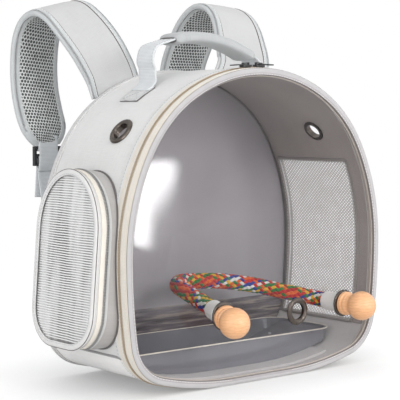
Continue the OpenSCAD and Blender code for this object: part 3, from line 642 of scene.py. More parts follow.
def cloth_lift(a, y):
    """How far the side wall's cloth stands off its frame: a fold over the zip tape's edge, then a
    soft crown with uneven tension."""
    if y < -61:
        return 0.0
    fold = 1.3 * math.exp(-(((y + 58.5) / 4.0) ** 2)) if y > -60.6 else 0.9
    u = min(1.0, max(0.0, (y + 60) / 127))
    x, z = rim(a)
    uneven = soft(x, y, z, 34, 0.6) + soft(x, y, z, 13, 0.2)
    return fold + (PUFF * sin(pi * u) ** 0.6 * 0.5 + uneven) * min(1.0, u * 5)


def base_lift(a, y):
    return 0.5 * cloth_lift(a, y) if y > -61 and rim(a)[1] > 12 else 0.0


def shell_wall(name, a0, a1, lift, shaders, slot, replaces):
    angles = rim_angles(a0, a1, 3.0)
    rows, inside = ([[on_rim(a, y, d(a, y)) for y in SHELL_Y] for a in angles]
                    for d in (lambda a, y: -lift(a, y), lambda a, y: WALL))
    return weld(plate(rows, inside, mat_in=1).object(name, "root", shaders, slot, replaces))


def cut(obj, tools):
    """Takes the tools out of the object and bakes the result."""
    for t in tools:
        mod = obj.modifiers.new("cut", "BOOLEAN")
        mod.operation, mod.object, mod.solver = "DIFFERENCE", t, "EXACT"
    bpy.context.view_layer.update()
    baked = bpy.data.meshes.new_from_object(obj.evaluated_get(bpy.context.evaluated_depsgraph_get()))
    obj.modifiers.clear()
    obj.data = baked
    for t in tools:
        bpy.data.objects.remove(t, do_unlink=True)


def shell_walls():
    side = shell_wall("shell_side", -A_SEAM, A_SEAM, cloth_lift, "shell_cloth side_lining", "shell_fabric",
                      "shell_crown shell_left shell_right")
    tools = []
    for s in (-1, 1):
        bpy.ops.mesh.primitive_cylinder_add(vertices=48, radius=VENT_R * MM, depth=0.04,
                                            location=on_rim(s * VENT_A, VENT_Y),
                                            rotation=(0, radians(s * VENT_A), 0))
        tools.append(bpy.context.object)
    bpy.ops.mesh.primitive_cube_add(size=1, location=Vector((WIDTH / 2, (WIN_Y0 + WIN_Y1) / 2,
                                                             (WIN_Z0 + WIN_Z1) / 2)) * MM)
    tools.append(bpy.context.object)
    tools[-1].scale = (0.12, (WIN_Y1 - WIN_Y0) * MM, (WIN_Z1 - WIN_Z0) * MM)
    cut(side, tools)
    shell_wall("base_cover", A_SEAM, 360 - A_SEAM, base_lift, "base_cloth floor_cloth", "base_fabric", "base_panel")


def base_seams():
    """The folded seam between the side wall and the base, one on each side."""
    b, lines = Build(), []
    for s in (-1, 1):
        a = s * A_SEAM
        n = rim_normal(a)
        b.skin([oval(on_rim(a, y, -0.5 * cloth_lift(a, y) - 0.1), n, Vector((n.z, 0, -n.x)) * s, 0.9, 1.5, 8)
                for y in span(-59.5, Y_BACK - 7.4, 4)], ring=True, ends=True)
        for a, lift in ((s * (A_SEAM - SEAM_OFF), 0.75), (s * (A_SEAM + SEAM_OFF), 0.5)):
            lines.append(([on_rim(a, y, -lift * cloth_lift(a, y)) for y in span(-58, Y_BACK - 8, 4)], rim_normal(a)))
    b.object("base_seam", "root", "seam_grey", "base_fabric")
    stitches("base_seam_stitches", lines, "root", "thread_grey", "binding", 3.6, 2.6, 0.28)


def disc(y, crown, wave):
    """Rings of points that fill the outline, from its middle to its rim."""
    rows = []
    for f in [0.002] + [k / 40 for k in range(1, 41)]:
        at = [(x * f, 150 + (z - 150) * f) for x, z in (rim(a, 0.2) for a in LOOP)]
        rows.append([Vector((x, y + crown * (1 - f ** 3) + soft(x, y, z, 45, wave) * (1 - f ** 8), z)) * MM
                     for x, z in at])
    return rows


def back_wall():
    b = Build(disc(Y_BACK, 0.25, 0.25), ring=True)
    b.skin(disc(Y_WALL, 0.0, 0.5), ring=True, mat=1, flip=True)
    b.object("back_cover", "root", "back_cloth back_lining", "shell_fabric", "back_panel")
    around("back_edge", "root", "binding_grey", "binding",
           [(63.9, 0.1), (63.9, -0.8), (64.4, -1.5), (66.5, -1.75), (70.0, -1.7), (71.6, -1.3), (72.4, -0.3),
            (72.5, 1.5), (72.2, 3.2), (71.7, 3.6), (71.1, 3.4), (71.0, 0.1)], "back_binding", low=0.4)
    a0 = angle_at_z(SEAM_Z + 24)
    around("corner_cord", "root", "binding_dark", "lining_fabric",
           [(65.4 + 1.3 * c, WALL + 1.1 + 1.2 * s) for c, s in circle(8)], "corner_piping", rim_angles(-a0, a0, 4))

    def front(a):
        return -(1 if rim(a)[1] > SEAM_Z else 0.5) * cloth_lift(a, -58.0)

    stitches("shell_edge_stitches", [rim_line(rim_angles(-150, 150, 3), 65.3, -1.78),
                                     rim_line(rim_angles(-158, 158, 3), -58.0, front)],
             "root", "thread_grey", "binding", 3.8, 2.7, 0.3)


# Door and its zip

TAPE = -0.95, 0.0, 0.3, 2
EDGE_LOW = 0.9


def zip_half(tag, body, y_far, y_near, out_y):
    """Tape from its far edge to the zip line, with the coil on that edge."""
    around("zip_tape_" + tag, body, "tape_cream", "zip_tape", rounded(*sorted((y_far, y_near)), *TAPE), tag + "_zip",
           OPEN_LOOP)
    line, ups = rim_line(OPEN_LOOP, y_near - out_y * COIL_W, TAPE[0], 1.3)
    zip_coil("zip_coil_" + tag, line, ups, Vector((0, out_y, 0)), body, "coil_beige", "zip_tape")
    stitches("zip_stitches_" + tag, [rim_line(OPEN_LOOP, y_near - out_y * 4.2, -0.97, 0.3)], body, "thread_pale",
             "zip_tape", 3.2, 2.4, 0.24)


def door_pieces():
    ys = span(-80.95, Y_ZIP - 0.06, 2)
    out = [[grounded(on_rim(a, y, -0.05 + 0.25 * cos((y + 76) / 5 * 1.5))) for y in ys] for a in OPEN_LOOP]
    ins = [[on_rim(a, y, 2.5) for y in ys] for a in OPEN_LOOP]
    weld(plate(out, ins, mat_in=1, mat_edge=1).object("door_side", "door", "door_cloth tape_brown", "shell_fabric",
                                                      "door_wall"))
    # Outer band, then the grey welt next to the clear sheet and its fold, dark as painted shade between the binding and
    # the sheet
    around("door_edge", "door", "binding_front binding_welt binding_dark", "binding",
           [(-83.1, -0.55), (-83.7, -0.3), (-84.1, 0.8), (-84.2, 2.4), (-84.05, 4.0), (-83.6, 6.4), (-83.0, 7.15),
            (-82.4, 7.1), (-82.05, 6.7), (-82.05, 0.6), (-82.4, 0.0)], "edge_binding", low=EDGE_LOW,
           tones=[0, 0, 0, 0, 1, 2, 2, 2, 0, 0, 0])
    around("door_edge_side", "door", "binding_warm", "binding",
           [(-78.6, -0.1), (-78.8, -0.65), (-80.0, -0.95), (-82.2, -0.92), (-82.75, -0.6), (-82.8, -0.1),
            (-80.5, 0.0)], low=EDGE_LOW)
    around("door_edge_seam", "door", "binding_dark", "binding",
           [(-82.95 + 0.28 * c, -0.5 + 0.28 * s) for c, s in circle(6)], low=1.2)
    around("door_edge_inside", "door", "tape_brown", "zip_tape", rounded(-80.95, -80.2, 2.6, 8.2, 0.3, 2))
    front = [on_rim(a, -83.75, 5.6) for a in rim_angles(-179.5, 179.5, 3)]
    stitches("door_edge_stitches", [(front, Vector((0, -1, 0))), rim_line(OPEN_LOOP, -79.6, -0.85, EDGE_LOW)],
             "door", "thread_pale", "binding", 3.6, 2.6, 0.27)


def hinge_cloth():
    """Cloth that joins the foot of the door to the base."""
    a0 = angle_at_x(HINGE_W / 2 - 0.5)
    out, ins = ([[grounded(on_rim(a, y, d), low) for y in span(-83.0, Y_ZIP + 0.2, 0.9)]
                 for a in rim_angles(a0, 360 - a0, 4)] for d, low in ((0.0, 0.35), (1.4, 1.5)))
    obj = plate(out, ins).object("hinge_cloth", None, "base_cloth", "base_fabric", "hinge_strip")
    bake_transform(obj)


# Pieces that lie on the arch, drawn flat in (s, y): s runs along the outline from the top

ARC_A = rim_angles(-180, 180, 1.0)
ARC_S = lengths([on_rim(a, 0) / MM for a in ARC_A])
ARC_S = [s - ARC_S[len(ARC_S) // 2] for s in ARC_S]


def angle_of(s):
    i, f = at_length(ARC_S, s)
    return ARC_A[i] + (ARC_A[i + 1] - ARC_A[i]) * f


def s_of(a):
    return ARC_S[min(range(len(ARC_A)), key=lambda k: abs(ARC_A[k] - a))]


def dense(path, step):
    """Closed flat path with points about one step apart."""
    return [(p.x, p.y) for p in even([Vector((*p, 0)) for p in path + path[:1]], step)][:-1]


def laid(path, d):
    """A flat path on the arch and its normals; d is an inset, or gives one for an angle and y."""
    at = [(angle_of(s), y) for s, y in path]
    return [on_rim(a, y, d(a, y) if callable(d) else d) for a, y in at], [rim_normal(a) for a, y in at]


def frame_on_rim(name, grow, half, d0, d1, shader, replaces=""):
    """A ribbon round the window, lying on the shell between two insets."""
    path, rows = window_path(grow), []
    for i, (s, y) in enumerate(path):
        a, c = path[i - 1], path[(i + 1) % len(path)]
        ts, ty = c[0] - a[0], c[1] - a[1]
        k = hypot(ts, ty)
        rows.append([on_rim(angle_of(s + ty / k * w), y - ts / k * w, d)
                     for w, d in ((-half, d0), (-half * 0.9, d1), (half * 0.9, d1), (half, d0))])
    Build(rows, ring=True, loop=True).object(name, "root", shader, "binding", replaces)


HEIGHTS = [(a, rim(a)[1]) for a in rim_angles(40, 170, 1.0)]
WIN_S0, WIN_S1 = (s_of(min(HEIGHTS, key=lambda h: abs(h[1] - z))[0]) for z in (WIN_Z1, WIN_Z0))


def window_path(grow):
    return dense(rounded(WIN_S0 - grow, WIN_S1 + grow, WIN_Y0 - grow, WIN_Y1 + grow, 3, 5), 3)


def side_window():
    wide, tall = WIN_Y1 - WIN_Y0, WIN_S1 - WIN_S0
    rows = [[on_rim(angle_of(s), y, 1.9 - 0.5 * sin(pi * (s - WIN_S0) / tall) * sin(pi * (y - WIN_Y0) / wide))
             for y in span(WIN_Y0 - 1, WIN_Y1 + 1, 4)] for s in span(WIN_S0 - 1, WIN_S1 + 1, 4)]
    net = Build(rows).object("window_net", "root", "window_net", "white_mesh", "window_mesh")
    frame_on_rim("window_edge_inside", 2.5, 2.3, 3.0, 4.2, "binding_window", "window_binding")
    frame_on_rim("window_edge_outside", 1.5, 3.0, -0.3, -1.6, "binding_grey")
    path = window_path(1.5)
    ring = dense(path + path[:1], 3)
    line, ups = laid(ring, 4.2)
    stitches("window_stitches", [laid(ring, -1.6), (line, [u * -1 for u in ups])], "root", "thread_pale", "binding",
             3.8, 2.7, 0.27)


# Side pocket, drawn in its own flat frame: x to the front, y up, z out of the shell

POCKET_W, POCKET_CORNER, POCKET_HEAD, POCKET_Z = 107.0, 38.0, 62.0, 47.5
POCKET_LEAN = radians(4.5)
POCKET_H = (VENT_Z - 39.8 - POCKET_Z) / cos(POCKET_LEAN)
POCKET_FRONT, POCKET_OUT = 12.0, 25.0
POCKET_ZIP = POCKET_OUT - 12
POCKET_FOOT = 2 * (POCKET_W / 2 - POCKET_CORNER) + 24
N_POCKET = 180
P_UP = Vector((sin(POCKET_LEAN), 0, cos(POCKET_LEAN)))
P_OUT = Vector((-cos(POCKET_LEAN), 0, sin(POCKET_LEAN)))
P_AT = (Vector((-WIDTH / 2, -POCKET_FRONT, POCKET_Z + POCKET_H / 2 * cos(POCKET_LEAN)))
        - P_UP * POCKET_H / 2)


def pk(x, y, z):
    return (P_AT + Vector((0, -x, 0)) + P_UP * y + P_OUT * z) * MM


def pocket_path(d):
    """Closed outline of the pocket, d inside it, starting at its foot."""
    w, r, top = POCKET_W / 2, POCKET_CORNER, POCKET_H - POCKET_HEAD

    def arc(x, y, rx, ry, turns):
        return [Vector((x + (rx - d) * cos(radians(t)), y + (ry - d) * sin(radians(t)), 0)) for t in turns]

    pts = arc(w - r, r, r, r, range(-90, 1, 6)) + arc(0, top, w, POCKET_HEAD, range(0, 181, 5))
    pts += arc(r - w, r, r, r, range(180, 271, 6))
    return pts + pts[:1]


def ring_points(d):
    """N_POCKET points (x, y) of that outline, in step with those at any other d."""
    inner = pocket_path(d)
    pts = [inner[i].lerp(inner[i + 1], f) for i, f in walk(lengths(pocket_path(0)), N_POCKET)]
    return [(p.x, p.y) for p in pts[:-1]]


def shell_depth(x, y):
    """The pocket frame's z at which a point of the pocket meets the shell."""

    def outside(z):
        p = pk(x, y, z) / MM
        return abs(p.x) <= rim(half_way(62.0, 165.0, lambda a: rim(a)[1] > p.z, 20))[0]

    return half_way(-26.0, 14.0, outside, 24)


def open_order(d):
    """Numbers of the points at inset d, without those over the hinge at the foot."""
    ring = ring_points(d)
    keep = [k for k in range(N_POCKET) if abs(ring[k][0]) >= POCKET_FOOT / 2 or ring[k][1] >= 20]
    first = next(i for i in range(len(keep)) if keep[i] - keep[i - 1] != 1)
    return keep[first:] + keep[:first]


def pocket_band(name, body, shader, slot, section, replaces="", hinged=False):
    """Sweeps a closed section [(z, d)] round the pocket, leaving out its hinge if asked."""
    rings = {d: ring_points(d) for d in set(d for z, d in section)}
    order = open_order(section[0][1]) if hinged else range(N_POCKET)
    rows = [[pk(*rings[d][k], z) for z, d in section] for k in order]
    Build(rows, ring=True, loop=not hinged, ends=hinged).object(name, body, shader, slot, replaces)


def pocket_wall():
    outer, inner = ring_points(0.0), ring_points(2.0)
    foot = [shell_depth(*p) + 0.3 for p in outer]
    sides = [(pk(*p, 0) - pk(*q, 0)).normalized() for p, q in zip(outer, inner)]
    rows_out, rows_in, welt = [], [], []
    for k, (start, side) in enumerate(zip(foot, sides)):
        shares = [i / 7 for i in range(8)]
        heights = [start + (POCKET_ZIP - 0.06 - start) * f for f in shares]
        row = []
        for f, z in zip(shares, heights):
            p = pk(*outer[k], z)
            swell = 0.8 * (0.7 + 0.3 * sin(k * 0.9)) + soft(*(p / MM), 16, 0.5)
            row.append(p + side * (swell * sin(pi * f)) * MM)
        rows_out.append(row)
        rows_in.append([pk(*inner[k], z) for z in heights])
        welt.append(oval(pk(*outer[k], start + 0.9) + side * 0.6 * MM, P_OUT, side, 1.1, 1.1, 6))
    # The pocket's wall takes a darker grey than the shell's cloth: painted shade
    weld(plate(rows_out, rows_in, loop=True).object("pocket_side", "root", "wall_grey", "shell_fabric", "pocket_wall"))
    # The welt round the pocket's foot is dark as painted shade in the gap between the pocket and the shell
    Build(welt, ring=True, loop=True).object("pocket_welt", "root", "binding_dark", "binding")


def pocket_zip(tag, body, z_far, z_near, shader, slot, sign):
    pocket_band("pocket_tape_" + tag, body, shader, slot, rounded(*sorted((z_far, z_near)), *TAPE),
                "pocket_%s_zip" % tag, True)
    ring, base, order = ring_points(TAPE[0]), ring_points(0.0), open_order(TAPE[0])
    line = [pk(*ring[k], z_near - sign * COIL_W) for k in order]
    ups = [(pk(*ring[k], 0) - pk(*base[k], 0)).normalized() for k in order]
    zip_coil("pocket_coil_" + tag, line, ups, P_OUT * sign, body, "coil_grey", slot)


def pocket_face():
    flap = "pocket_flap"
    pocket_band("pocket_flap_side", flap, "shell_cloth", "shell_fabric",
                rounded(POCKET_ZIP + 0.06, POCKET_OUT - 1.5, 0.05, 2.0, 0.4, 2))
    edge = [(-3.2, -0.75), (-0.8, -0.95), (0.6, -0.5), (1.3, 0.6), (1.5, 2.4), (1.2, 4.4), (0.6, 5.2), (0, 5.2),
            (-0.4, 4.8), (-0.4, 0.4), (-3.2, 0.0)]
    pocket_band("pocket_edge", flap, "binding_pocket", "binding", [(POCKET_OUT + z, d) for z, d in edge], "pocket_rim")
    pocket_band("pocket_edge_seam", flap, "binding_dark", "binding",
                [(POCKET_OUT - 0.1 + 0.45 * c, -0.95 + 0.45 * s) for c, s in circle(6)])
    path = ring_points(3.9)
    stitches("pocket_edge_stitches", [([pk(*p, POCKET_OUT + 1.36) for p in path + path[:1]], P_OUT)], flap,
             "thread_grey", "binding", 3.4, 2.4, 0.25)
    # Mesh face: a soft dome with level ribs
    base, mid_y = ring_points(2.6), POCKET_H / 2 + 4

    def dome(x, y, f):
        fold = 0.35 * sin(0.42 * x + 0.8 * sin(0.04 * y)) + soft(x, y / 4, 3.0, 9, 0.8)
        return POCKET_OUT - 2.4 + 1.9 * (1 - f ** 2.4) + (soft(x, y, 3.0, 30, 0.7) + fold) * (1 - f ** 4)

    rows = []
    for f in [0.004] + [k / 26 for k in range(1, 27)]:
        at = [(x * f, mid_y + (y - mid_y) * f) for x, y in base]
        rows.append([pk(x, y, dome(x, y, f)) for x, y in at])
    back = Build(rows, ring=True).object("pocket_net", flap, "pocket_sheer", "white_mesh", "pocket_mesh")
    b = Build()
    inner, y = ring_points(4.6), 8.0
    while y < POCKET_H - 5:
        hits = [p[0] + (q[0] - p[0]) * (y - p[1]) / (q[1] - p[1])
                for p, q in zip(inner, inner[1:] + inner[:1]) if (p[1] - y) * (q[1] - y) < 0]
        if len(hits) >= 2:
            rows = []
            for x in span(min(hits), max(hits), 3.5):
                # The share of the way from the middle to the rim
                v = x, y - mid_y
                rim_at = max(((p, q - mid_y) for p, q in base[::3]),
                             key=lambda w: (w[0] * v[0] + w[1] * v[1]) / hypot(*w))
                f = min(1.0, max(1e-6, hypot(*v)) / hypot(*rim_at))
                rows.append(oval(pk(x, y + soft(x, y, 9, 22, 0.5), dome(x, y, f) + 0.25), P_UP, P_OUT, 0.72, 0.38, 6))
            b.skin(rows, ring=True, ends=True)
        y += 2.5
    ribs = b.object("pocket_ribs", flap, "rib_white", "white_mesh")


shell_walls()
base_seams()
back_wall()
zip_half("shell", "root", -60.0, Y_ZIP + 0.06, -1)
zip_half("door", "door", -80.0, Y_ZIP - 0.06, 1)
door_pieces()
hinge_cloth()
side_window()
pocket_wall()
pocket_zip("wall", "root", POCKET_ZIP - 5, POCKET_ZIP - 0.06, "tape_grey", "grey_tape", 1)
pocket_zip("flap", "pocket_flap", POCKET_ZIP + 7, POCKET_ZIP + 0.06, "tape_cream", "zip_tape", -1)
pocket_face()

# Sweeps along a path

SIDES = {-1: "left", 1: "right"}
BEHIND = Vector((0, 1, 0))


def sweep_rows(path, across, section):
    """Rows of points: section(i, f) gives (a, b) pairs, a along across, b along the normal."""
    s = lengths(path)
    rows, frames = [], []
    n = len(path)
    for i in range(n):
        t = (path[min(n - 1, i + 1)] - path[max(0, i - 1)]).normalized()
        u = across[i] if isinstance(across, list) else across
        u = (u - t * u.dot(t)).normalized()
        v = t.cross(u)
        frames.append((path[i], u, v))
        rows.append([path[i] + (u * a + v * b) * MM for a, b in section(i, s[i] / s[-1])])
    return rows, frames


def band_section(w, t):
    """Flat webbing: half width w, half thickness t, rounded edges, as (a, b) pairs."""
    face = [(-w + t + 2 * (w - t) * k / 8, t) for k in range(9)]
    face += [(w - t + t * cos(u), t * sin(u)) for u in (pi / 2 - pi * k / 3 for k in (1, 2))]
    return face + [(-a, -b) for a, b in face]


# Carry handle

HANDLE_Y, HANDLE_W, HANDLE_SPAN, HANDLE_RISE = 7.0, 30.0, 168.0, 38.0
FOOT_A = math.degrees(math.asin(HANDLE_SPAN / 2 / TOP_R))
FOOT_Z = CENTRES[0][1] + TOP_R * cos(radians(FOOT_A))
HANDLE_AXIS = FOOT_Z + HANDLE_W / 2 + 1.2
GRIP_Z = HEIGHT + HANDLE_RISE
FOOT_X = HANDLE_SPAN / 2 - 0.5
GRIP_L, GRIP_W, GRIP_T = 112.0, 36.0, 13.0
BEND = HANDLE_AXIS + 4
# Half length of the patch on the arch, and the angle at its middle
PATCH, PATCH_A = 14, FOOT_A + 4.6


def grip_line(x):
    return GRIP_Z - 4 - 0.12 * (x + 3) - 0.0033 * (x + 3) ** 2


def handle_band():
    left = [(-FOOT_X, BEND - 6), (-FOOT_X, BEND), (-FOOT_X - 3, HANDLE_AXIS + 13), (-FOOT_X + 2, GRIP_Z - 15),
            (-FOOT_X + 18, GRIP_Z - 9), (-54, grip_line(-54) + 0.6)]
    right = [(55, grip_line(55) + 0.6), (60, grip_line(60) + 0.6), (FOOT_X - 12, GRIP_Z - 33), (FOOT_X - 4, BEND + 3),
             (FOOT_X - 2, BEND - 3)]
    b, lines = Build(), []
    for side, pts in ((-1, left), (1, right)):

        def section(i, f):
            near = max(0.0, 1 - (1 - f if side < 0 else f) * 5)
            w = HANDLE_W / 2 * (1 - 0.1 * near)
            return [(a, t + 0.5 * near * sin(a * 0.9)) for a, t in band_section(w, 1.0)]

        path = even([Vector((x, HANDLE_Y, z)) * MM for x, z in curve(pts, 10)], 2.0 * MM)
        rows, frames = sweep_rows(path, BEHIND, section)
        b.skin(rows, ring=True, ends=True)
        for off in (-12.2, 12.2):
            for up in (1, -1):
                lines.append(([c + u * off * MM + v * up * MM for c, u, v in frames], [v * up for c, u, v in frames]))
    b.object("handle_band", "handle", "webbing_grey", "webbing", "handle_webbing")
    stitches("handle_band_stitches", lines, "handle", "thread_grey", "webbing", 3.4, 2.5, 0.26)


def handle_feet():
    """Webbing below the band: it folds out of the stitched patch."""
    b = Build()
    for s in (-1, 1):
        fold_a = angle_of(s_of(s * PATCH_A) - s * (14 if s < 0 else 12))
        base, out = on_rim(fold_a, HANDLE_Y, -1.2), rim_normal(fold_a)
        side = Vector((s * out.z, 0, -s * out.x))
        x = -FOOT_X if s < 0 else FOOT_X - 3.2
        pts = [base + (side * a + out * h) * MM for a, h in ((9, 1.2), (2.6, 1.3), (0.4, 2.2))]
        pts += [Vector(p) * MM for p in ((x - s * 0.2, HANDLE_Y, base.z / MM + 6), (x, HANDLE_Y, BEND - 8),
                                         (x, HANDLE_Y, BEND - 3), (x, HANDLE_Y, BEND + 1))]
        path = even([Vector(p) for p in curve(pts, 10)], 1.2 * MM)
        b.skin(sweep_rows(path, BEHIND, lambda i, f: band_section(HANDLE_W / 2, 1.05))[0], ring=True, ends=True)
    foot = b.object("handle_feet", None, "webbing_grey", "webbing")
    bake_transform(foot)


def grip_section(i, f):
    """Padded grip: a rounded section with soft folds, pulled in at a seam near its left end, ends drawn in."""
    end = 1 - max(0.0, 1 - min(f, 1 - f) / 0.045) ** 2
    drawn = max(0.0, 1 - (1 - f) / 0.16) + 0.5 * max(0.0, 1 - f / 0.09)
    seam = 0.55 * math.exp(-(((f - 0.5) * GRIP_L + 42) / 1.2) ** 2)
    out = []
    for u in (2 * pi * k / 40 for k in range(40)):
        folds = (0.4 * sin(9 * u + 1.3) + 0.3 * sin(15 * u)) * drawn + 0.22 * sin(5 * u + 3 * f) * sin(pi * f)
        r = 1 + folds * 0.06 - seam * 0.1
        out.append((GRIP_W / 2 * bow(cos(u), 0.62) * (0.84 + 0.16 * end) * r,
                    GRIP_T / 2 * bow(sin(u), 0.72) * (0.5 + 0.5 * end) * r))
    return out


def handle_grip():
    path = [Vector((x, HANDLE_Y, grip_line(x))) * MM for x in span(-GRIP_L / 2 + 0.4, GRIP_L / 2 - 0.4, 1.6)]
    n = len(path)
    rows, frames = sweep_rows(path, BEHIND, grip_section)
    grip = Build(rows, ring=True, ends=True).object("handle_pad", "handle", "grip_cloth", "shell_fabric", "handle_grip")
    lines = [([rows[i][k] for i in range(4, n - 4)], [(rows[i][k] - frames[i][0]).normalized() for i in range(4, n - 4)])
             for k in (2, 18)]
    i0 = min(range(n), key=lambda i: abs(path[i].x / MM + 45))
    ring = rows[i0] + rows[i0][:1]
    lines.append((ring, [(p - frames[i0][0]).normalized() for p in ring]))
    stitches("handle_pad_stitches", lines, "handle", "thread_grey", "binding", 3.4, 2.5, 0.26)
    # The grip's open left end: a dark sheet inside it round the webbing, painted shade
    c = frames[0][0]
    mouth = [[c + (p - c) * k - Vector((d, 0, 0)) * MM for p in rows[0]]
             for k, d in ((0.96, 0.1), (0.9, 0.45), (0.1, 0.4))]
    Build(mouth, ring=True).object("handle_pad_mouth_shade", "handle", "binding_dark", "binding")


def handle_patches():
    """Patches on the arch, with a box of stitches."""
    b, lines = Build(), []
    y0, y1 = HANDLE_Y - HANDLE_W / 2, HANDLE_Y + HANDLE_W / 2
    for s in (-1, 1):
        s0, s1 = (s_of(s * PATCH_A) + k * PATCH for k in (-1, 1))
        rows_out, rows_in = [], []
        for q in span(s0, s1, 2):
            a = angle_of(q)
            rows_out.append([on_rim(a, y, -cloth_lift(a, y) - 1.5 - 0.25 * sin((y - y0) * 0.4 + q * 0.2))
                             for y in span(y0, y1, 2)])
            rows_in.append([on_rim(a, y, -cloth_lift(a, y) + 0.4) for y in span(y0, y1, 2)])
        # The patch's edges take the dark binding's colour: painted shade along them
        plate(rows_out, rows_in, mat_edge=1, into=b)
        box = dense(rounded(s0 + 2.6, s1 - 2.6, y0 + 2.6, y1 - 2.6, 0.6, 1), 2)
        lines.append(laid(box + box[:1], lambda a, y: -cloth_lift(a, y) - 1.62))
        for ya, yb in ((y0 + 3, y1 - 3), (y1 - 3, y0 + 3)):
            cross = [(s0 + 3 + (s1 - s0 - 6) * k / 12, ya + (yb - ya) * k / 12) for k in range(13)]
            lines.append(laid(cross, lambda a, y: -cloth_lift(a, y) - 1.66))
    weld(b.object("handle_patches", "root", "patch_cloth binding_dark", "webbing",
                  "handle_patch_left handle_patch_right"))
    stitches("handle_patch_stitches", lines, "root", "thread_grey", "binding", 3.0, 2.2, 0.26)


# Shoulder straps

PAD_W, PAD_T, LINING_T = 68.0, 8.0, 1.2
STRAP_X = {-1: 74.0, 1: 88.0}
STRAP_REACH, STRAP_RISE, STRAP_DROP, STRAP_SIDE = 119.0, 110.0, 59.0, 50.0
STRAP_Y = Y_BACK + 1 + 0.3 + PAD_T / 2 * 0.35
# Shares of side, reach, rise or drop, then twist and turn in degrees, and shares of width and thickness
STRAP_SHAPE = {
    -1: [(0, 0.008, 0, None, 0, 1, 0.3), (0.12, 0.06, 0.222, 25, 2, 1, 0.9), (0.4, 0.12, 0.477, 25, 3.8, 1, 1),
         (0.68, 0.213, 0.686, 20, 5, 1, 1), (0.84, 0.318, 0.809, 15.5, 6, 1, 1), (0.94, 0.448, 0.845, 12.5, 7, 1, 1),
         (0.98, 0.595, 0.772, 8.5, 8.2, 1, 1), (1.01, 0.708, 0.586, 4, 9.3, 1, 1),
         (0.99, 0.771, 0.331, 1.5, 10, 1, 1), (0.95, 0.788, 0.059, 1.5, 9.7, 1, 1),
         (0.9, 0.755, -0.331, 1.8, 9, 1, 1), (0.86, 0.704, -0.653, 2, 6, 0.92, 1),
         (0.84, 0.679, -0.857, 1, 3, 0.72, 0.9), (0.83, 0.671, -1, 0, 0, 0.48, 0.6)],
    1: [(0, 0.012, 0, None, 0, 1, 0.2), (0.32, 0.061, 0.157, 24, 4, 1, 0.7), (0.64, 0.087, 0.375, 9, 17, 1, 1),
        (0.77, 0.187, 0.62, 5, 11.6, 1, 1), (0.83, 0.313, 0.857, 3, 4, 1, 1), (0.8, 0.465, 0.993, 3.2, -3, 1, 1),
        (0.76, 0.641, 1, 4.3, -2.8, 1, 1), (0.69, 0.801, 0.857, 4.3, -1, 1, 1), (0.62, 0.918, 0.63, 5.5, 0, 1, 1),
        (0.54, 0.99, 0.402, 4.5, 0, 1, 1), (0.49, 1, 0.175, 2.6, 0, 1, 1), (0.48, 0.965, 0.011, 0.5, 0, 0.92, 1),
        (0.49, 0.944, -0.131, 0, 0, 0.72, 0.9), (0.5, 0.937, -0.25, 0, 0, 0.48, 0.6)]}
BIND, BIND_T = 9.0, 0.75
# Share of the strap next to its seam that stays flat, clear of the back's edge as it swings
FLAT = {-1: 0.04, 1: 0.14}


def strap_rows(s):
    x0 = STRAP_X[s]
    root_a = math.asin(x0 / TOP_R)
    z0 = CENTRES[0][1] + TOP_R * cos(root_a) - 9
    rows = []
    for sx, sy, sz, twist, turn, w, t in STRAP_SHAPE[s]:
        r, q = (root_a if twist is None else radians(twist)), radians(turn)
        rise = sz * (STRAP_RISE if sz > 0 else STRAP_DROP)
        rows.append([x0 + sx * STRAP_SIDE, STRAP_Y + sy * STRAP_REACH, z0 + rise,
                     cos(r) * cos(q), -cos(r) * sin(q), -sin(r), PAD_W / 2 * w, PAD_T / 2 * t])
    return rows


def flip(points, s):
    return [Vector((p.x * s, p.y, p.z)) for p in points]


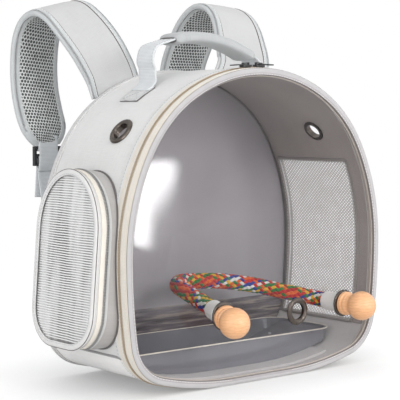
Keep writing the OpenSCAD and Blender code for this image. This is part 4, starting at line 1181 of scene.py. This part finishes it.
def strap(s):
    tag, body = SIDES[s], "strap_" + SIDES[s]
    rows = curve(strap_rows(s), 9)
    path = [Vector(r[:3]) * MM for r in rows]
    n = len(rows)
    along = lengths(path)
    share = [d / along[-1] for d in along]

    def face(i, a):
        """Half thickness of the pad at distance a from its middle line."""
        w, t = rows[i][6:]
        cos_u = min(1.0, abs(a) / max(w, 1e-6)) ** (1 / 0.45)
        return t * math.sqrt(max(0.0, 1 - cos_u * cos_u)) ** 0.62

    def crown(i, a):
        """Foam swells between the bindings; runs of the cloth pull in at the middle of the bend."""
        u = max(0.0, 1 - (abs(a) / max(1.0, rows[i][6] - BIND)) ** 2)
        f = share[i]
        return ((0.9 * u ** 0.6 + soft(a, f * 330, 4.0 * s, 17, 0.45) * u)
                * min(1.0, max(0.0, f - FLAT[s] - 0.03) * 10) * min(1.0, (1 - f) * 14))

    def section(i, f):
        w, t = rows[i][6:]
        ring = [(w * bow(x, 0.45), t * bow(y, 0.62)) for x, y in circle(44)]
        return [(a, b - crown(i, a) if b < 0 else b + 0.25 * crown(i, a)) for a, b in ring]

    pad_rows, frames = sweep_rows(path, [Vector(r[3:6]) for r in rows], section)
    pad = Build([flip(r, s) for r in pad_rows], ring=True, ends=True, flip=s < 0).object(
        "strap_body_" + tag, body, "strap_cloth", "shell_fabric", "strap_pad_" + tag)

    # Binding: wraps each edge; the outline over both faces
    b, lines = Build(), []
    for edge in (-1, 1):
        bound, seams = [], ([], [], [], [])
        for i, (c, u, v) in enumerate(frames):
            w, t = rows[i][6:]
            reach = min(BIND, w * 0.6)
            thick = BIND_T * min(1.0, 0.1 + max(0.0, share[i] - FLAT[s]) * 8)
            marks = [w - reach * k for k in (1, 0.9, 0.6, 0.25)]
            pts = [(a, -face(i, a) - crown(i, a) * 0.35) for a in marks]
            pts += [(w * bow(cos(q), 0.45), t * bow(sin(q), 0.62)) for q in map(radians, (-35, -12, 0, 12, 35))]
            pts += [(a, face(i, a)) for a in reversed(marks)]
            outer = []
            for k, (a, h) in enumerate(pts):
                p, q = pts[max(0, k - 1)], pts[min(len(pts) - 1, k + 1)]
                tx, ty = q[0] - p[0], q[1] - p[1]
                e = thick * (0.35 if k in (0, len(pts) - 1) else 1) / (hypot(tx, ty) or 1)
                outer.append((a + ty * e, h - tx * e))
            bound.append([c + (u * (a * edge) + v * h) * MM for a, h in outer + pts[::-1]])
            a = w - reach + 1.4
            for k, (up, h) in enumerate(((-1, -face(i, a) - crown(i, a) * 0.35), (1, face(i, a)))):
                seams[2 * k].append(c + (u * (a * edge) + v * (h + up * thick * 0.96)) * MM)
                seams[2 * k + 1].append(v * up)
        # The fold of the binding next to the cloth lies in shade
        b.skin([flip(r, s) for r in bound], ring=True, flip=(s * edge) > 0)
        m = len(bound[0])
        b.mats[-m * (n - 1):] = [1 if k % m in (0, m - 1) else 0 for k in range(m * (n - 1))]
        lines += [(flip(seams[k], s), flip(seams[k + 1], s)) for k in (0, 2)]
    b.object("strap_binding_" + tag, body, "binding_strap binding_dark", "binding")
    stitches("strap_stitches_" + tag, lines, body, "thread_pale", "binding", 3.6, 2.6, 0.27)

    # Underside: spacer mesh between the bindings
    top, low = [], []
    for i in range(6, n - 4):
        w, f = rows[i][6], share[i]
        c, u, v = frames[i]
        edge_w = w - min(BIND, w * 0.6) + 1.0
        pairs = []
        for a in (edge_w * (k / 8 - 1) for k in range(17)):
            side = max(0.0, 1 - (abs(a) / edge_w) ** 4)
            ripple = 0.5 * sin(f * 95) * max(0.0, 1 - abs(f - 0.86) * 9) + soft(a, f * 330, 9.0 * s, 12, 0.5)
            pairs.append([c + (u * a + v * (face(i, a) + h)) * MM for h in (0.3 + (LINING_T + ripple) * side, 0.05)])
        for grid, row in zip((top, low), zip(*pairs)):
            grid.append(flip(row, s))
    plate(top, low).object("strap_mesh_" + tag, body, "air_mesh", "air_mesh", "strap_lining_" + tag)
    return rows[-1]


def web_strip(name, body, rows, s, node="", step=3.0, half=12.5, t=0.75):
    path = flip(even([Vector(r) * MM for r in curve(rows, 10)], step * MM), s)
    swept, _ = sweep_rows(path, Vector((1, 0, 0)), lambda i, f: band_section(half, t))
    return Build(swept, ring=True, ends=True).object(name, body, "webbing_grey", "webbing", node)


# Webbing round a ladder lock as (y, z) from the pad's end: name, points, step, half width, half thickness
LOCK_L = 22.0
LOCK_WEBS = (
    ("strap_turn_", [(2.2, -1.0 - LOCK_L), (3.0, 3 - LOCK_L), (2.6, -13), (0.4, -10.8), (-2.4, -12.2),
                     (-3.1, 4 - LOCK_L), (-1.4, -0.8 - LOCK_L)], 1.2, 12.2, 0.6),
    ("strap_tongue_", [(-2.6, 12), (-3.1, 4), (-3.0, -1.4), (-1.6, -4.6), (1.6, -4.6), (3.0, -1.4), (3.1, 4),
                       (2.6, 12)], 1.2, 12.8, 0.7),
    ("strap_cover_", [(-2.6, 9), (-3.9, 1), (-4.3, -8), (-4.2, 2 - LOCK_L), (-3.2, -2.5 - LOCK_L),
                      (-1.8, -6 - LOCK_L)], 1.6, 12.4, 0.55))
ANCHOR_Z = 50.0


def strap_fittings(s, end):
    tag, body = SIDES[s], "strap_" + SIDES[s]
    x, y, z = end[0], end[1], end[2] - 0.9
    ax = STRAP_X[-1] + 42
    top = (x, y + 0.1, z - LOCK_L - 0.8)
    foot = (ax, Y_BACK + 3.8, ANCHOR_Z - 8)
    rows = [[a + (b - a) * f for a, b, f in zip(foot, top, shares)] for shares in
            ((1, 1, 1), (0.93, 0.96, 0.893), (0.75, 0.8, 0.658), (0.5, 0.53, 0.423), (0.25, 0.27, 0.275),
             (0.08, 0.075, 0.123), (0, 0, 0))]
    web = web_strip("strap_web_" + tag, None, rows, s, "strap_webbing_" + tag)
    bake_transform(web)
    tail = [(x - 1 + 0.4 * k, y + 3.3 + 0.5 * k, z - LOCK_L + 4 - 10 * k) for k in range(5)]
    web_strip("strap_end_" + tag, body, tail, s, "strap_tail_" + tag)
    for name, pts, *size in LOCK_WEBS:
        web_strip(name + tag, body, [(x, y + dy, z + dz) for dy, dz in pts], s, "", *size)
    # Anchor patch on the back with its stitches
    pts = [(-20, -22), (20, -22), (13.5, 12), (-13.5, 12)]
    outline = even([Vector((*p, 0)) for p in pts + pts[:1]], 2.0)[:-1]

    def patch(wide, tall, y, mid=5):
        return [Vector(((ax + p.x * wide) * s, Y_BACK + y, ANCHOR_Z - mid + (p.y + mid) * tall)) * MM for p in outline]

    rows = [patch(f, f, y) for f, y in ((0.01, 2.6), (0.3, 2.6), (0.6, 2.6), (0.85, 2.6), (0.96, 2.35), (1.0, 1.7),
                                        (1.0, 0.1))]
    Build(rows, ring=True, flip=s > 0).object("strap_anchor_cover_" + tag, "root", "back_cloth", "shell_fabric",
                                              "strap_anchor_" + tag)
    line = patch(0.86, 0.88, 2.65)
    stitches("strap_anchor_stitches_" + tag, [(line + line[:1], BEHIND)], "root", "thread_grey", "binding",
             3.2, 2.4, 0.27)


# Back pads with sewn channels

PAD_BACK_W, PAD_BACK_T = 92.0, 11.0
PAD_BACK_Z = 70.0, 254.0


def back_pad(s):
    tag, cx = SIDES[s], s * (PAD_BACK_W / 2 + 7)
    cz, hw, hz = sum(PAD_BACK_Z) / 2, PAD_BACK_W / 2, (PAD_BACK_Z[1] - PAD_BACK_Z[0]) / 2
    rows = []
    for v in (-1 + 2 * i / 92 for i in range(93)):
        row = []
        for u in (-1 + 2 * j / 56 for j in range(57)):
            # Superellipse outline
            k, m = (abs(u) ** 5 + abs(v) ** 5) ** 0.2, max(abs(u), abs(v))
            q = m / k if k else 1.0
            px, pz = cx + u * q * hw, cz + v * q * hz
            edge = (1 - m ** 6) ** 0.5 if m < 1 else 0.0
            channel = max(math.exp(-(((pz - cz) / hz - c) * hz / 2.6) ** 2) for c in (-0.42, 0.0, 0.42))
            y = (0.4 + PAD_BACK_T * (0.12 + 0.86 * edge) * (1 - 0.62 * channel * edge)
                 + soft(px, pz, 2.0, 20, 0.5) * edge)
            row.append(Vector((px, Y_BACK + y, pz)) * MM)
        rows.append(row)
    b = Build(rows)
    rim_pts = rows[0] + [r[-1] for r in rows[1:-1]] + rows[-1][::-1] + [r[0] for r in rows[-2:0:-1]]
    b.skin([rim_pts, [Vector((p.x, (Y_BACK + 0.2) * MM, p.z)) for p in rim_pts]], ring=True)
    pad = b.object("back_pad_cover_" + tag, "root", "back_mesh", "air_mesh", "back_pad" if s > 0 else "")
    weld(pad)
    ring = []
    for i, p in enumerate(rim_pts):
        t = rim_pts[(i + 1) % len(rim_pts)] - rim_pts[i - 1]
        out = Vector((t.z, 0, -t.x)).normalized()
        if out.dot(Vector((p.x - cx * MM, 0, p.z - cz * MM))) < 0:
            out = out * -1
        ring.append([p + (out * w + BEHIND * h) * MM for w, h in
                     ((-4.6, 1.6), (-2.0, 1.5), (0.6, 0.9), (1.4, -0.4), (1.0, -1.2), (-4.6, -1.0))])
    Build(ring, ring=True, loop=True, flip=True).object("back_pad_binding_" + tag, "root", "binding_grey", "binding")


# Perch: rope and collars; the door's rings as (x, z)

RING_AT = [(-54.0, 74.0), (52.0, 68.5), (123.0, 71.0)]
ROPE_R, CAP_D, CAP_WALL, STUD_HEAD, GAP, SHEET_T = 9.0, 21.0, 3.0, 2.5, 0.3, 1.0
TILT_SIDE, TILT_DOWN = radians(20), radians(5)
TILT = math.acos(cos(TILT_SIDE) * cos(TILT_DOWN))
ROPE_BEND = [(117, -38, 73.5), (92, -18, 80), (62, 2, 88), (25, 15, 94), (-5, 20, 96), (-28, 19, 97), (-42, 8, 95),
             (-43.5, -8, 90), (-41, -27, 83)]
STRANDS, LAY = 12, 105.0
# Strands run at a radius that swings by WEAVE, each an oval of these half axes
STRAND_R, WEAVE, STRAND_W, STRAND_T = ROPE_R - 1.6, 0.6, 1.72, 1.0


def end_dir(i):
    if i:
        return Vector((0, -1, 0))
    return -Vector((sin(TILT_SIDE) * cos(TILT_DOWN), cos(TILT_SIDE) * cos(TILT_DOWN), sin(TILT_DOWN)))


def rope_end(i, d):
    off = SHEET_T + 1.2 + GAP + (0 if i else CAP_D / 2 * sin(TILT))
    x, z = RING_AT[i]
    return Vector((x, Y_SHEET, z)) - end_dir(i) * (off + CAP_WALL + STUD_HEAD + GAP + d)


def parallel_frames(path):
    """A frame carried along the path without twist."""
    n, out = len(path), []
    for i in range(n):
        t = (path[min(n - 1, i + 1)] - path[max(0, i - 1)]).normalized()
        u = out[-1][1] if out else t.orthogonal().normalized()
        u = (u - t * u.dot(t)).normalized()
        out.append((t, u, t.cross(u)))
    return out


def rope():
    pts = [rope_end(2, d) for d in (0, 10, 20)] + ROPE_BEND + [rope_end(0, d) for d in (20, 10, 0)]
    line = even([Vector(p) for p in curve(pts, 12)], 1.0)
    s = lengths(line)
    frames = parallel_frames(line)
    core = [oval(line[i] * MM, *frames[i][1:], ROPE_R - 2.6, ROPE_R - 2.6, 16) for i in range(0, len(line), 3)]
    Build(core, ring=True, ends=True).object("rope_core", "door", "rope_dark", "rope", "rope_perch")
    built = [Build() for _ in range(ROPE_COLOURS)]
    for way in (1, -1):
        for k in range(STRANDS):
            rows = []
            for i, (t, u, v) in enumerate(frames):
                th = 2 * pi * (k / STRANDS + way * s[i] / LAY)
                r = STRAND_R + way * WEAVE * cos(2 * pi * STRANDS * s[i] / LAY)
                out = u * cos(th) + v * sin(th)
                turn = (u * -sin(th) + v * cos(th)) * way
                along = (t + turn * (2 * pi * STRAND_R / LAY)).normalized()
                rows.append(oval((line[i] + out * r) * MM, along.cross(out).normalized(), out, STRAND_W, STRAND_T, 8))
            colour = (k * 3 + (2 if way < 0 else 0)) % ROPE_COLOURS
            built[colour].skin(rows, ring=True, ends=True)
    for c, b in enumerate(built):
        if b.faces:
            b.object("rope_strands_%d" % c, "door", "rope_cotton_%d" % c, "rope")
    # Collars where the caps grip the rope
    b = Build()
    for i in (2, 0):
        axis = end_dir(i)
        side = axis.orthogonal().normalized()
        b.skin([oval((rope_end(i, 0) - axis * (d - 0.9)) * MM, side, axis.cross(side), r, r, 32) for d, r in
                ((17.2, ROPE_R + 0.5), (18.6, ROPE_R + 0.9), (19.0, ROPE_R + 0.2), (17.0, ROPE_R - 0.6))],
               ring=True, loop=True)
    b.object("perch_collars", "door", "cap_white", "cap_plastic")


# A bead along the tray's top rim, coloured warm white as a painted highlight
def tray_rim_highlight():
    x, y0, y1 = 156.3, -36.8, 65.5
    path = [Vector((*p, 0)) for p in dense(rounded(-x, x, y0, y1, 21.8, 8), 3)]
    rows = []
    for i, p in enumerate(path):
        t = (path[(i + 1) % len(path)] - path[i - 1]).normalized()
        rows.append(oval((p + Vector((0, 0, 34.7))) * MM, Vector((t.y, -t.x, 0)), Vector((0, 0, 1)), 0.9, 0.8, 8))
    Build(rows, ring=True, loop=True).object("tray_rim_highlight", "tray", "rim_warm", "tray_plastic")


def dress(node, shader, bevel):
    """A frame node that keeps its shape and takes a finish, with its edges eased."""
    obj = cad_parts[node]
    obj.data.materials.clear()
    obj.data.materials.append(M[shader].mat)
    if bevel:
        mod = obj.modifiers.new("ease", "BEVEL")
        mod.width, mod.segments, mod.limit_method, mod.angle_limit = bevel * MM, 2, "ANGLE", radians(35)


handle_band()
handle_feet()
handle_grip()
handle_patches()
for side in (-1, 1):
    strap_fittings(side, strap(side))
for side in (-1, 1):
    back_pad(side)
rope()
tray_rim_highlight()

for shader, bevel, nodes in (
        ("floor_cloth", 0, "base_board"), ("wipe_film", 0, "wipe_strip"), ("tray_grey", 0.3, "tray"),
        ("ring_metal", 0, "vent_ring_left vent_ring_right door_ring_left door_ring_middle door_ring_right"),
        ("clear_vinyl", 0, "window_sheet"), ("wood", 0, "knob_left knob_right"), ("steel", 0, "stud_left stud_right"),
        ("cap_white", 0, "perch_cap_left perch_cap_right"),
        ("slider_black", 0.3, "zip_slider_left zip_slider_right pocket_slider"),
        ("slider_black", 0.2, "zip_pull_left zip_pull_right pocket_pull"),
        ("nylon_black", 0.5, "ladder_lock_left ladder_lock_right")):
    for node in nodes.split():
        dress(node, shader, bevel)

# Stage and light

GLOW = 0.66


def make_floor():
    bpy.ops.mesh.primitive_plane_add(size=30, location=(0, 0, -0.0002))
    floor = bpy.context.object
    floor.name = "floor"
    s = Shader("floor_white", (0.7, 0.7, 0.7, 1), 0.9)
    seen = s.math("MAXIMUM", s.node("LightPath", out="Is Camera Ray"), s.node("LightPath", out="Is Transmission Ray"))
    # Less glow next to the carrier, where it shades the floor
    near = s.node("AmbientOcclusion", {"Distance": 0.12}, "AO", samples=8)
    strength = s.math("MULTIPLY", s.math("MULTIPLY", seen, GLOW), s.math("MULTIPLY_ADD", near, 0.65, 0.35))
    glow = s.node("Emission", {"Color": (1, 1, 1, 1), "Strength": strength})
    s.colour(s.mix(seen, (0.8, 0.8, 0.8, 1), (0.4, 0.4, 0.4, 1)))
    # Away from the carrier the floor runs into the white behind it
    away = s.vmath("LENGTH", s.vmath("MULTIPLY", s.coords("Object"), (1, 1, 0)))
    far = s.math("MULTIPLY", s.ramp(away, (0.45, 0.0), (0.95, 1.0)), seen)
    s.surface(far, s.node("AddShader", {0: s.bsdf.outputs[0], 1: glow}), s.node("Emission", {"Color": (1, 1, 1, 1)}))
    floor.data.materials.append(s.mat)


def make_world():
    """White to the camera and in reflections, softer as light."""
    world = bpy.data.worlds.new("studio")
    bpy.context.scene.world = world
    world.use_nodes = True
    t = world.node_tree
    t.nodes.clear()
    out, mix, light, top, both, grey, white = (t.nodes.new("ShaderNode" + kind) for kind in (
        "OutputWorld", "MixShader", "LightPath", "Math", "Math", "Background", "Background"))
    for node, colour, strength in ((white, (1, 1, 1, 1), 1.0), (grey, (0.97, 0.97, 0.98, 1), 0.7)):
        node.inputs["Color"].default_value = colour
        node.inputs["Strength"].default_value = strength
    top.operation = both.operation = "MAXIMUM"
    for a, b in ((light.outputs["Is Camera Ray"], top.inputs[0]), (light.outputs["Is Transmission Ray"], top.inputs[1]),
                 (top.outputs[0], both.inputs[0]), (light.outputs["Is Glossy Ray"], both.inputs[1]),
                 (both.outputs[0], mix.inputs[0]), (grey.outputs[0], mix.inputs[1]), (white.outputs[0], mix.inputs[2]),
                 (mix.outputs[0], out.inputs["Surface"])):
        t.links.new(a, b)


def area(name, at, target, size, power):
    data = bpy.data.lights.new(name, "AREA")
    data.shape = "RECTANGLE"
    data.size, data.size_y = size
    data.energy = power
    obj = bpy.data.objects.new(name, data)
    bpy.context.scene.collection.objects.link(obj)
    obj.location = at
    aim(obj, Vector(target))
    return obj


make_floor()
make_world()
area("key", (-1.6, -1.5, 2.0), (0, 0, 0.18), (1.4, 1.4), 10)
area("front", (0.1, -2.4, 1.0), (0, 0, 0.15), (1.2, 0.9), 27)
area("fill", (1.8, -1.2, 1.2), (0, 0, 0.15), (1.6, 1.6), 8)
area("top", (0.1, 0.6, 2.4), (0, 0, 0.2), (2.0, 1.4), 3.5)
area("left", (-2.3, -0.9, 0.55), (0, 0, 0.15), (1.2, 1.0), 15)
# Soft box that the clear door mirrors towards the camera
mirror_at = Vector((-0.146, Y_SHEET * MM, 0.192))
view = mirror_at - CAMERA_AT
bounce = Vector((view.x, -view.y, view.z)).normalized()
glint = area("door_glint", mirror_at + bounce, mirror_at, (0.034, 0.15), 0.7)
glint.rotation_euler.rotate_axis("Z", radians(-12))

bpy.context.scene.view_settings.view_transform = "Standard"
